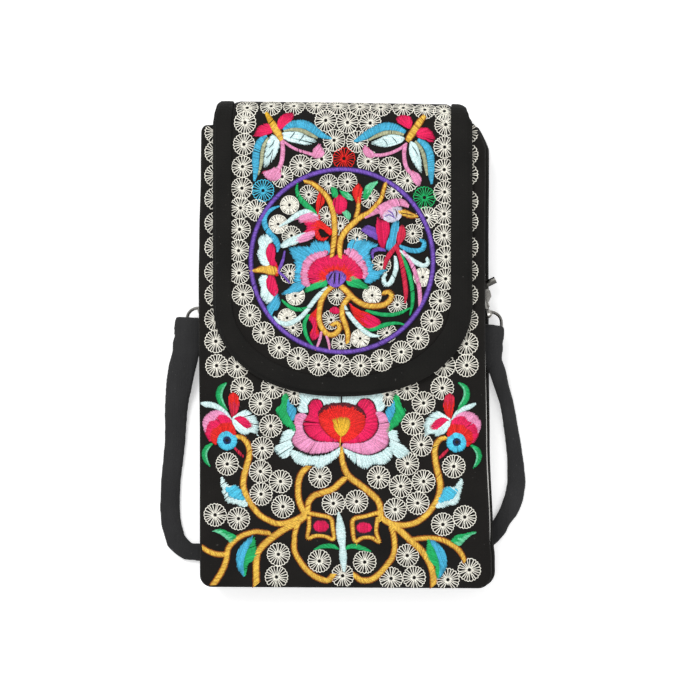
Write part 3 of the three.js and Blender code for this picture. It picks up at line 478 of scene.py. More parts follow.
# Painted shade: the share of a stitch's colour kept along it and across it, so that its ends and sides are
# darker. A stitch has as many points across as ROUND_SIDES has entries.
ROUND_ENDS = np.array([0.3, 0.92, 1, 0.92, 0.3])
ROUND_SIDES = np.array([0.3, 1, 0.3])
STITCH_POINTS = len(STEPS) * len(ROUND_SIDES)
SIDE_SINK = 0.42  # how far a stitch's sides lie under its middle, as a share of its width
SKIPPED = 0.015  # the share of stitches that are missing


def chart(text):
    return np.array([[float(v) for v in p.split(",")] for p in text.split()])


def to_cloth(points):
    """Chart points as mm on the cloth: x, and down from the fold's start, or round the fold above it."""
    x = (points[..., 0] - CHART_X) * UNIT
    y = (CHART_Y - points[..., 1]) * UNIT
    out = fold_radii(x)[0] + puff(x)
    turned = np.arcsin(np.clip((y - FOLD_START) / out, 0, 0.97)) / np.pi * FOLD_LENGTH
    return np.stack([x, np.where(y > FOLD_START, -turned, FOLD_START - y)], -1)


class Stitches:
    """Stitches on one cloth: from, to, width, arch, layer, colour, tone, and how dark painted shade makes
    their sides and ends.
    """

    def __init__(self):
        self.rows = []

    def add(self, a, b, width, arch, layer, colour, depth=1.0):
        a, b = np.atleast_2d(a), np.atleast_2d(b)
        n = len(a)
        block = np.zeros((n, 10))
        block[:, 0:2], block[:, 2:4] = a, b
        for i, value in enumerate((width, arch, layer, THREAD_NAMES.index(colour))):
            block[:, 4 + i] = value
        block[:, 8] = rng.uniform(0, 1, n)
        block[:, 9] = depth
        self.rows.append(block)

    def mesh(self, name, lifted, keep=None):
        s = np.concatenate(self.rows)
        if keep is not None:
            s = s[keep((s[:, 0:2] + s[:, 2:4]) / 2)]
        n = len(s)
        a, b = s[:, None, 0:2], s[:, None, 2:4]
        run = b - a
        length = np.linalg.norm(run, axis=-1, keepdims=True)
        side = np.stack([-run[..., 1], run[..., 0]], -1) / np.maximum(length, 1e-6)
        centre = a + run * STEPS[None, :, None]
        width = s[:, 4, None] * TAPER
        high = s[:, 6, None] + s[:, 5, None] * ARCH
        points, lifts = [], []
        for across, sink in ((-0.5, SIDE_SINK), (0, 0), (0.5, SIDE_SINK)):
            points.append(centre + side * (width * across)[..., None])
            lifts.append(np.maximum(0.02, high - width * sink))
        points, lifts = np.stack(points, 2).reshape(-1, 2), np.stack(lifts, 2).reshape(-1)
        verts = lifted(points[:, 0], points[:, 1], lifts)
        quads = grid_faces(len(STEPS), len(ROUND_SIDES))
        faces = (np.arange(n)[:, None, None] * STITCH_POINTS + quads[None]).reshape(-1, 4)
        obj = new_mesh(name, verts, faces)
        me = obj.data
        used = sorted({int(c) for c in s[:, 7]})
        for c in used:
            me.materials.append(THREADS[THREAD_NAMES[c]])
        place = {c: i for i, c in enumerate(used)}
        index = np.repeat([place[int(c)] for c in s[:, 7]], len(quads))
        me.polygons.foreach_set("material_index", index.astype(np.int32))
        tone = me.attributes.new("tone", "FLOAT", "POINT")
        tone.data.foreach_set("value", np.repeat(s[:, 8], STITCH_POINTS).astype(np.float32))
        # Painted shade: each stitch's colour is darkened towards its ends and sides, as shade in the grooves
        # between stitches
        painted_groove_shade = me.attributes.new("painted_groove_shade", "FLOAT", "POINT")
        painted_lit_share = 1 - s[:, 9, None] * (1 - np.outer(ROUND_ENDS, ROUND_SIDES).reshape(1, -1))
        painted_groove_shade.data.foreach_set("value", painted_lit_share.reshape(-1).astype(np.float32))
        me.update()
        return obj


def resample(path, step):
    """Even points along a smooth curve through the path's rows, with its other columns carried along."""
    p = np.vstack([2 * path[0] - path[1], path, 2 * path[-1] - path[-2]])
    fine = []
    for i in range(1, len(p) - 2):
        t = np.linspace(0, 1, 12, endpoint=False)[:, None]
        a, b, c, d = p[i - 1], p[i], p[i + 1], p[i + 2]
        bend, twist = 2 * a - 5 * b + 4 * c - d, 3 * b - a - 3 * c + d
        fine.append(0.5 * (2 * b + (c - a) * t + bend * t**2 + twist * t**3))
    fine = np.vstack([*fine, path[-1:]])
    far = np.concatenate([[0], np.cumsum(np.hypot(*np.diff(fine[:, :2], axis=0).T))])
    n = max(3, int(far[-1] / step) + 1)
    even = np.linspace(0, far[-1], n)
    return np.stack([np.interp(even, far, fine[:, k]) for k in range(fine.shape[1])], 1)


def band(store, colour, text, slant=25, layer=0.22, arch=0.3, under=None):
    """Satin stitches across a path whose rows are x, y and width. Slant turns them, and under is the colour
    of a wider layer beneath."""
    rows = chart(text)
    if under:
        wider = " ".join(f"{x:g},{y:g},{w + 1.8:g}" for x, y, w in rows)
        band(store, under, wider, slant, layer - 0.12, arch * 0.7)
    place = np.column_stack([to_cloth(rows[:, :2]), rows[:, 2] * UNIT])
    p = resample(place, SPACING / math.cos(math.radians(slant)))
    run = np.gradient(p[:, :2], axis=0)
    run /= np.maximum(np.linalg.norm(run, axis=1, keepdims=True), 1e-6)
    across = np.stack([-run[:, 1], run[:, 0]], 1)
    turn = math.radians(slant)
    way = across * math.cos(turn) + run * math.sin(turn)
    half = (p[:, 2:3] / 2) * (1 + rng.uniform(-0.07, 0.07, (len(p), 1))) / math.cos(turn)
    a, b = p[:, :2] - way * half, p[:, :2] + way * half
    wide = SPACING * 1.25
    keep = rng.uniform(0, 1, len(p)) > SKIPPED
    store.add(a[keep], b[keep], wide, arch, layer, colour)


def crossings(poly, origin, way):
    """Where lines from origin along way cross the polygon's edges, as distances, sorted."""
    a, b = poly, np.roll(poly, -1, axis=0)
    e = b - a
    den = way[0] * e[:, 1] - way[1] * e[:, 0]
    ok = np.abs(den) > 1e-9
    d = a - origin
    with np.errstate(divide="ignore", invalid="ignore"):
        t = (d[:, 0] * e[:, 1] - d[:, 1] * e[:, 0]) / den
        u = (d[:, 0] * way[1] - d[:, 1] * way[0]) / den
    return np.sort(t[ok & (u >= 0) & (u < 1)])


def rounded(poly, step=1.0):
    closed = np.vstack([poly, poly[:1]])
    return resample(closed, step)[:-1]


def oval(x, y, across, high, step):
    """The chart of an oval: its middle, its half width and half height, and the step in radians."""
    angles = np.arange(0, 6.2, step)
    return " ".join(f"{x + across * math.cos(a):.1f},{y + high * math.sin(a):.1f}" for a in angles)


def fill(
    store, colours, way, text, layer=0.25, arch=0.34, ragged=0.35, split=0.5, outline_in=None, fringe=None,
):
    """Satin stitches over an outline. Way is an angle, or the point that they fan out from, in chart units.
    Two colours blend along each stitch, the first nearer the fan's point. Outline_in is the colour of a line
    of thread round it, and fringe the colour of loose thin stitches at its outer ends."""
    if outline_in:
        edge = rounded(chart(text), 3)
        around = " ".join(f"{x:.1f},{y:.1f},2" for x, y in np.vstack([edge, edge[:1]]))
        band(store, outline_in, around, 30, layer - 0.06, 0.16)
    colours = colours.split("/")
    poly = rounded(to_cloth(chart(text)))
    lines = []
    if isinstance(way, tuple):
        hub = to_cloth(np.array([way], float))[0]
        rel = poly - hub
        far = np.hypot(*rel.T)
        rel = np.vstack([rel, rel[:1]])
        angles = np.unwrap(np.arctan2(rel[:, 1], rel[:, 0]))
        low, high = angles.min(), angles.max()
        if high - low > 2 * np.pi - 0.05:
            low, high = 0, 2 * np.pi
        for angle in np.arange(low + 0.01, high, SPACING / max(1.2, np.percentile(far, 60))):
            direction = np.array([math.cos(angle), math.sin(angle)])
            t = crossings(poly, hub, direction)
            t = t[t > 0]
            if len(t) % 2:
                t = np.insert(t, 0, 0.15)
            lines += [(hub + direction * t[i], hub + direction * t[i + 1]) for i in range(0, len(t), 2)]
    else:
        angle = math.radians(-way)
        direction = np.array([math.cos(angle), math.sin(angle)])
        across = np.array([-math.sin(angle), math.cos(angle)])
        reach = poly @ across
        for offset in np.arange(reach.min() + SPACING / 2, reach.max(), SPACING):
            origin = across * offset
            t = crossings(poly, origin, direction)
            for i in range(0, len(t) - 1, 2):
                lines.append((origin + direction * t[i], origin + direction * t[i + 1]))
    if not lines:
        return
    a, b = np.array([p for p, _ in lines]), np.array([q for _, q in lines])
    length = np.linalg.norm(b - a, axis=1, keepdims=True)
    ok = (length[:, 0] > 0.3) & (rng.uniform(0, 1, len(a)) > SKIPPED)
    a, b, length = a[ok], b[ok], length[ok]
    unit = (b - a) / length
    a = a - unit * rng.uniform(-0.05, ragged, (len(a), 1))
    b = b + unit * rng.uniform(-0.05, ragged, (len(b), 1))
    wide = SPACING * 1.3
    if fringe:
        loose = rng.uniform(0, 1, len(a)) < 0.2
        tip = b[loose] + unit[loose] * 0.15
        root = tip - unit[loose] * rng.uniform(0.5, 1.5, (len(tip), 1))
        store.add(root, tip, 0.16, 0.1, layer + arch, fringe)
    if len(colours) == 1:
        store.add(a, b, wide, arch, layer, colours[0])
        return
    share = split + rng.uniform(-0.24, 0.24, (len(a), 1))
    middle = a + (b - a) * share
    over = unit * np.minimum(0.5, length * 0.1)
    store.add(a, middle + over, wide, arch * 0.8, layer, colours[0])
    store.add(middle - over, b, wide, arch * 0.8, layer, colours[-1])


def eyelet(store, x, y, radius, colour="cream", spokes=21, layer=0.0):
    """A wheel eyelet: a thick core round a small hole, spokes, and a looped rim."""
    centre = to_cloth(np.array([[x, y]]))[0]
    r = radius * UNIT
    a = (np.arange(spokes) + rng.uniform(0, 1)) * 2 * np.pi / spokes + rng.uniform(-0.06, 0.06, spokes)
    ray = np.stack([np.cos(a), np.sin(a)], 1)
    tip = r * rng.uniform(0.92, 1.0, (spokes, 1))
    core = r * rng.uniform(0.42, 0.56, (spokes, 1))
    wide = 0.077 * r * (1 if spokes < 30 else 1.4)
    # The eyelet's stitches get a little less painted shade at their sides and ends than satin stitches
    store.add(centre + ray * r * 0.15, centre + ray * core, 1.6 * r / spokes, 0.3, layer + 0.16, colour, 0.7)
    store.add(centre + ray * r * 0.3, centre + ray * tip, wide, 0.22, layer + 0.1, colour, 0.7)
    b = np.roll(a, -1)
    b[-1] += 2 * np.pi
    if b[-1] - a[-1] > np.pi:
        b[-1] -= 2 * np.pi
    mid = (a + b) / 2
    bulge = np.stack([np.cos(mid), np.sin(mid)], 1) * r * 1.03
    end = np.roll(ray * tip, -1, axis=0)
    thin = 0.075 * r
    store.add(centre + ray * (tip - r * 0.03), centre + bulge, thin, 0.16, layer + 0.1, colour, 0.6)
    beside = np.roll(ray, -1, axis=0) * r * 0.03
    store.add(centre + bulge, centre + end - beside, thin, 0.16, layer + 0.1, colour, 0.6)


def mirrored(text, axis, down):
    rows = chart(text)
    rows[:, 0] = 2 * axis - rows[:, 0]
    rows[:, 1] += down
    return " ".join(",".join(f"{v:g}" for v in row) for row in rows)


# The body's chart
BODY = Stitches()
AXIS = 341.5  # the pattern's middle line

EYELETS_LEFT = """
216.3,365.7 237.4,366.7 242,388.4 260.6,403.7 271.1,426 262.6,448.3 260.6,471.5 227,464.2 280.9,481.4
261.2,494.2
283.3,506.5 320.5,476.4 214.7,515.4 238.4,518.9 333.9,503.1 278.6,554.5 276.4,577.3 319.5,561 342.8,575.7
273,387.4
294.8,393.4 215.5,131.7 215.5,151.7 215.5,175 215.5,198.3 215.5,223.3 215.5,247 215.5,272 215.5,295
215.5,319.4 215.5,341.3
"""
EYELETS_RIGHT = """
466.8,365.3 444.1,365.7 442.5,388 423.9,402.9 413.4,423.6 421.7,444.4 407.9,463.2 423.9,481 401.1,485.9
418,502.7
395.6,509 379.2,477 453.9,466.1 464.8,516.6 443.1,523.9 357.1,501.1 365,561.8 407.5,555.1 391.3,578.2
414.4,577.2
448,579.2 469.4,569.3 387.7,394.4 407.5,388.4 466.6,133 466.6,155 466.6,175 466.6,201.7 466.6,221.7
466.6,247.5 466.6,271 466.6,295 466.6,320 466.6,343.8
"""
for x, y in chart(EYELETS_LEFT + EYELETS_RIGHT):
    eyelet(BODY, x, y, 11.4)

# Stems: rows of x, y and width
STEMS = [
    ("236,436.5,3.5 242,438,4.5 247,443,5 249.5,450,5.2 249,458,5.2 246.5,467,5.4 244,477,5.6 "
     "243.5,487,5.6 "
     "247,497,5.4 253,507,5.2 260,515,5 268,520,5 277,523.5,5 286,523,5 295,520,5 302,516,5 306,511,4.5"),
    "309,466,4.5 303,472,5.4 299.5,480,5.4 298.5,490,5.4 299.5,500,5.4 303,509,5.4 307,516,5",
    "346,477,4.5 341,482,5.4 333,489,5.4 323,492.5,5.4 314,496,5.4 309,503,5.4 308,513,5",
    "342,447,3.6 342.5,458,4.8 345,468,5.4 350,476.5,5.6 360,484,5.6 370,492,5.6 378,500,5.6 381,509,5.6 "
    "381.5,520,5",
    "306,516,5 296,523,6 285,529,6 274,536.5,6 264,545,6 257.5,554,6 256,565,6 256,576,6 256,588,6",
    "300,520,4 296,530,4.5 294.5,541,4.8 295,551,4.8 300,561,4.8 308,571,5 318,578,5.2 328,580,5.4 "
    "334,574,4.5",
    ("271,533.5,4 263,532.5,4 255,532,4.2 243,535.5,4.4 234,541.5,4.6 228,549,4.8 226.5,557,5 224,566,5.2 "
     "219,576,5.4 211,588,5.4"),
    "227,554.8,4.2 217,554.8,4.6 209,552.5,4.6 202,548.5,4",
    ("446.5,437,3.5 440.5,439,4.5 436.5,444,5 435,451,5.2 435.5,459,5.2 437,468,5.4 439.5,478,5.6 "
     "440.5,488,5.6 "
     "438,498,5.4 432,508,5.2 425,516,5 416,522,5 406,524.5,5 396,524,5 388,521,5 382,517,5 379,512,4.5"),
    "383,519,5 392,524,6 402,531.5,6 412,541,6 422,550.5,6 429,561,6 433,573,6 434,588,6",
    "391,525,4.5 394,535,4.8 395,546,4.8 393,556,4.8 387,565,5 380,573,5.2 372,579,5.4 362,580,5.4 "
    "354,575,4.5",
    "411,539.5,4 420,538,4 431,537.5,4.2 441,539,4.4 449,542.5,4.6 457,548,4.6 462,554,4.4 465,561,3.4",
]
# The amber beneath each stem shows as its dark edges, painted shade
for k, text in enumerate(STEMS):
    band(BODY, "gold", text, slant=38, layer=0.2 + 0.02 * (k % 3), arch=0.42, under="amber")
# The framed squares, then in each the middle and height of its oval and the outline of its dark ground
for text in (
    "309,513,3.4 320,515,3.6 331,518,3.6 333,527,3.6 334,539,3 325,535.8,3.4 316,535.4,3.4 308,538,3 "
    "309.5,527,3.6 309.5,516,3.4",
    "379,512,3.4 366,516,3.6 354,519,3.6 353.3,529,3.6 355.5,541,3 363,537.2,3.4 372,537.2,3.4 "
    "380,542,2.4 376.5,531,3.6 378,517,3.4",
):
    # The amber beneath shows as the frame's dark edges, painted shade
    band(BODY, "gold", text, slant=15, layer=0.3, arch=0.34, under="amber")
for x, y, high, ground in (
    (321.5, 526, 6.3, "311.5,517.5 330,519.5 331,534.5 311.5,534"),
    (364.6, 527.2, 5.7, "356,519 376,517.5 374.5,535 356,535"),
):
    fill(BODY, "ink", 0, ground, layer=0.12)
    fill(BODY, "magenta", 90, oval(x, y, 7.5, high, 0.4), layer=0.3, outline_in="wine")
band(BODY, "gold", "357.5,540,1.2 357,546,1", slant=0)
band(BODY, "gold", "340.5,446,1.4 341.5,436,1.2", slant=10, layer=0.7)

# The middle flower, from the back to the front: colours, the point that it fans out from, outline, layer and
# raggedness
FLOWER = [
    ("cyan", (341, 440), "299,393 320,393 341,393.5 341,408 325,404 308,412 301,412.5 298.5,408 "
     "301,402", 0.14, 0.7),
    ("cyan", (343, 440), "343.4,393.5 362,393 384,392 383,400 385,406 379,412.5 360,404 "
     "343.4,408", 0.14, 0.7),
    ("cyan", (325, 425), "284,432 289,429.5 296.5,431 293.5,438 293.5,446 291,452.5 286.5,458 279,455 "
     "275,448 "
     "280.5,443 281.5,439", 0.14, 0.7),
    ("cyan", (360, 425), "397,430.5 392,430 387,433 390,441 391.5,449 398,457.5 404,457 410,452 405,446 "
     "399,440",
     0.14, 0.7),
    ("cyan", (330, 420), "291,450.5 298,452 307,456 318,456.5 330,454 341,447 341,452 333.5,460 327,464.5 "
     "320,467.5 "
     "312.5,464.5 305,465.5 297,462 292,456.5", 0.14, 0.7),
    ("cyan", (353, 420), "342,447 355,452.5 369,455 381,452.5 389.5,446.5 393,451 391,457.5 385,463.5 "
     "373,464 365,468 "
     "356.5,463.5 349,456", 0.14, 0.7),
    ("pink", (326, 428), "295.5,414.5 303,413 308,416 304.5,422 303.5,428 306.5,434 312,439 320,441 "
     "330,441 341,444 "
     "336,448.5 325,452.5 313,453.5 302,450.5 294.5,445 292,439 295.5,434 296.5,428 294.5,421", 0.34, 0.4),
    ("pink", (358, 428), "375.5,412 383,412 389,418.5 391.5,427 388.5,433 389.5,441 386,447 379,451.5 "
     "368,454.5 "
     "355,451.5 342.5,445 350,442 362,442 371,438 377,431 379,423.5", 0.34, 0.4),
    ("magenta", (330, 424), "309,405.5 313,400 319,399.5 323,403.5 322.5,410 320,420 323.5,429 330,436 "
     "339,440.5 "
     "330,441.5 318,440.5 309,435.5 304,427 305,419 309.5,413", 0.5, 0.35),
    ("magenta", (354, 424), "358,404 362,399.5 369,399 374,403 376.5,411 378.5,420 378,428.5 373,436 "
     "365,441 352,443.5 "
     "343.5,441.5 352,438 360,432 365,424 365,414 361,408", 0.5, 0.35),
    ("red/red", (342, 427), "321.5,409 330,405 342,403.5 353,405 361,408.5 366,414.5 366.5,422 363.5,430 "
     "358,436.5 "
     "350,441.5 342,442 334,438.5 327,432.5 321,424.5 319,416.5", 0.62, 0.35),
    # The red blends to wine along its top edge: painted shadow under the petals above
    ("red/wine", (342, 430), "318.5,417 320.5,410 326,406 333,403.5 342,402.6 352,404 360,407.5 365.5,413 "
     "366.5,419 "
     "361,414.5 353,410.5 342,409.4 332,410.5 325,413", 0.74, 0.5),
    ("yellow", (342, 436), "333.2,419.5 338,417.8 348.8,417.8 350.8,422.5 349.8,428 346,433.5 342,435.8 "
     "338.6,433 335,428",
     0.86, 0.5),
]
for colours, hub, text, layer, ragged in FLOWER:
    lined = "ink" if layer in (0.34, 0.5) else None
    fringe = "teal" if colours == "cyan" else None
    fill(BODY, colours, hub, text, layer, ragged=ragged, outline_in=lined, fringe=fringe)
band(BODY, "cream", "238.6,465.6,0.9 240.6,467.6,0.9 243,469,0.7", slant=0)
band(BODY, "ink", "342.2,394,1.6 342,400,1.8 342,404,1", slant=0, layer=0.5)

# Leaves and side flowers: kind, colours, way or slant, chart and layer. The right ones are the left ones
# mirrored, one unit lower, or have a chart of their own in a sixth entry.
PAIRED = [
    ("fill", "green", 60, "283,396.5 286,393.5 289,396.5 287.5,404 287.5,412 292,420 296.5,430.5 "
     "290,427.5 283,421.5 279,415 276.5,409 281,405", 0.3),
    ("fill", "sky", 60, "288.5,398 290,404 294.5,406 296.5,412 294.5,419 293,421.5 288.5,413 "
     "287.8,404", 0.34),
    ("band", "cyan", 15, "200.5,403.5,2.5 204.5,404.5,5.5 211,405,6.2 218,407.5,5.2 225,412,4 "
     "231.5,419.5,1.5", 0.3,
     "452,419.5,1.5 456.7,413,4 463.3,408.8,5.2 470,406.4,5 475.5,403.6,2.4"),
    ("fill", "pink", (228, 430), "230,416.5 226,413 221,410.9 216,410.3 210.2,411.8 205.2,415.9 "
     "202.3,421.3 202.7,427.2 "
     "205.2,433 207,428.5 209.5,425.5 213.5,423 217,420 219.5,418 223.5,417 227.7,418", 0.26),
    ("fill", "magenta", (229, 434), "231,418.8 226.8,415.4 222.7,414.2 218.1,414.4 216,417.6 213.5,420.4 "
     "209.8,420.8 "
     "206.4,424.4 204.8,429.7 205.2,434.7 207.7,438.8 210.2,442.2 213,437 217,430.5 222.5,426.5 "
     "231,424", 0.4),
    ("fill", "red", (226, 441), "231.8,421.3 225.2,422.2 218.5,423.4 216.8,426.8 212.7,427.6 210.2,431.3 "
     "208.9,436.3 "
     "210.2,440.5 216,445.5 216.8,439.7 221,433 227.7,431.3 232.7,434.7 236,434.7 235.2,428.8", 0.5),
    ("fill", "cyan", (232, 420), "232.7,418 239.3,413 245.2,410.5 251,413 256,418 258.1,424.7 257.3,429.7 "
     "258.1,435.1 "
     "254.3,433 249.3,432.2 245.2,434.3 239.3,432.2 235.2,428 232.7,423", 0.3),
    ("fill", "magenta", (233, 420), "234.3,418.8 241,415.9 247.7,418.8 251.8,423 252.7,427.2 247.7,428.8 "
     "243.5,426.3 "
     "239.3,423", 0.46),
    ("fill", "crimson/red", 90, "229,395 233,392.5 238,396 239.3,405 237.5,412 232.5,418.5 230,411 "
     "228.5,402", 0.3),
    ("band", "green", 30, "226,383,2 220.6,388,6.2 218.8,395.5,6.6 221.4,402.5,6 227,410,1.8", 0.26,
     "459,382.6,2 464.5,386.5,5.4 467,392.5,6.2 465.5,399.5,6.4 461,405.5,4.6 457.5,411,1.6"),
    ("band", "mint", 30, "226,384,1.2 222.6,389.5,2.2 221.2,396,2.6 223,402,2.2 226.5,408.5,1", 0.5,
     "460,383.5,1 463.8,388,2 464.8,394,2.6 462.8,400,2.2 459,406,1.4"),
    ("band", "green", 30, "211.5,444,2.5 206.3,448,5.2 204,454,5.8 205.4,460.5,4.6 209.6,466.5,1.6", 0.26),
    ("band", "mint", 30, "210,446.5,1.2 207,450.5,2 205.8,455,2.2 206.8,460,1.8 209,465,1", 0.5),
    ("band", "crimson", 30, "235,448.5,2.5 239.5,453,3.6 243.5,456.5,2.6", 0.24),
    ("fill", "cyan", 38, "221.4,476.3 224.8,482.2 228.1,486.3 232.7,485.5 237.7,487.2 241,492.2 "
     "243.5,497.2 248.1,505.5 "
     "242.7,506.3 235.2,503.8 227.3,502.2 223.9,496.3 222.3,488.8 220.6,481.3", 0.28),
    ("fill", "azure", 38, "225,486.5 228.6,488.6 232.7,485.7 237.7,487.2 241,492.2 244.5,500.4 238,499.2 "
     "231.5,497.6 "
     "227.6,492.6", 0.5),
    ("fill", "sky", 70, "253,536 247.5,539.5 241,546 237,553 236,561 238,569 244.5,577 243.5,568 "
     "244.5,558 247.5,550 251.5,543", 0.3),
    ("fill", "green", 20, "254,536 255.5,545 256,556 251,562 247.2,565 246.5,571 244.5,577 243.2,567 "
     "244.5,557 247.5,549 252,542", 0.32),
]
for kind, colour, way, text, layer, *right_text in PAIRED:
    for right in (False, True):
        drawn = text
        if right:
            drawn = right_text[0] if right_text else mirrored(text, AXIS, 1)
        if kind == "band":
            band(BODY, colour, drawn, slant=-way if right else way, layer=layer, arch=0.4)
        else:
            turned = way
            if right:
                turned = (2 * AXIS - way[0], way[1] + 1) if isinstance(way, tuple) else -way
            loose = 0.7 if colour in ("green", "sky", "azure", "cyan") else 0.35
            lined = "wine" if colour == "magenta" else None
            fill(BODY, colour, turned, drawn, layer, ragged=loose, outline_in=lined)
for x, y in ((227, 440.4), (456.8, 441.8)):
    for radius, colours, layer in ((10, "azure", 0.42), (4.3, "blue", 0.56), (1.7, "ink", 0.8)):
        fill(BODY, colours, (x, y), oval(x, y, radius, radius, 0.35), layer=layer, split=0.6)
fill(BODY, "mint/green", 10, "211.5,531.5 220,529.5 230,533 237.5,537.5 231,543.5 226,539 "
"220,534.5", layer=0.3)
fill(BODY, "green/mint", -25, "451,540.5 456,535 465,533 470,531.8 477.5,531.2 470,535.5 464,541 "
"459,545.5", layer=0.3)
band(BODY, "cyan", "339,512,2 340,519,6 341,529,9.6 342,539,9 343,547,6.4 343.4,556,8.2 344,565,5.4 "
"344.4,571,2.6", slant=5, layer=0.34, arch=0.5)
band(BODY, "green", "315,549.5,1.5 322,546.8,4 330,545.8,5 337.5,546.8,4.6", slant=55, layer=0.26, arch=0.4)
band(BODY, "green", "346.5,547,4.6 354,546,5.4 362,548,5 370.5,551,1.6", slant=-55, layer=0.26, arch=0.4)

# The flap's chart
FLAP = Stitches()
EYELETS_FLAP = """
247,107.5 245.4,122.6 244.4,144.4 243,166.7 242.4,188.3 241,208 240,229.4 239,250.7 239.4,272.9 243.4,294.6
250.5,315.4 264.1,332.8 280,347.6 299,358.4 319.5,364.7 340.3,365.7 361.6,365.7 382.2,360.4 401.9,351.9
418.5,338.5
446,125.6 445,148 444.6,170.5 445,192.8 444.5,214.6 444.5,235.9 446.4,257.3 446,279.2 440.7,301.1
432.2,320.9
271,106 294,106 316.5,105.5 338,106.5 360,107.5 381,108 403.5,108.5 425,110.5 444.5,112
326.4,121 348.2,123.2 370.9,124 334.9,141 358,142.4 322.5,159.6 301.3,166.1 282.9,177 368.9,162.2
390.7,168.7
408.1,181.5 258,210.6 427,218.5
"""
for x, y in chart(EYELETS_FLAP):
    eyelet(FLAP, x, y, 10.9)
for (x, y), colour in (((344.8, 159.2), "red"), ((263.7, 190.8), "azure"), ((424.9, 198.3), "green")):
    eyelet(FLAP, x, y, 10.9, colour)
DENSE = [
    (290.4, 205.3), (279, 224.4), (423.3, 277.5), (372.9, 295.6), (287.9, 318), (361, 338.5), (296.2, 296),
]
EYELETS_MEDAL = """
329.4,184.5 348.2,182.5 309.6,195 290.4,205.3 279,224.4 292.4,235.9 328.4,216.5 341.2,226.4 358,238
370.9,199
394.6,192 413.4,234.3 423.3,277.5 372.9,295.6 382,265 338.3,295.6 296.2,296 290.8,273.9 287.9,318 293.8,328
332,320 361,338.5 387.7,333 398,305 342.2,344
"""
for x, y in chart(EYELETS_MEDAL):
    dense = (x, y) in DENSE
    eyelet(FLAP, x, y, 9.3 if dense else 9.6, spokes=36 if dense else 20)

RING_X, RING_Y, RING_RADIUS = 342.5, 261, 91
ring = []
for a in np.linspace(0.02, 2 * np.pi + 0.02, 73):
    ring.append(f"{RING_X + RING_RADIUS * math.cos(a):.2f},{RING_Y + RING_RADIUS * math.sin(a):.2f},3.7")
# The dark violet beneath shows as the ring's dark edges, painted shade
band(FLAP, "purple", " ".join(ring), slant=28, layer=0.5, arch=0.42, under="violet")

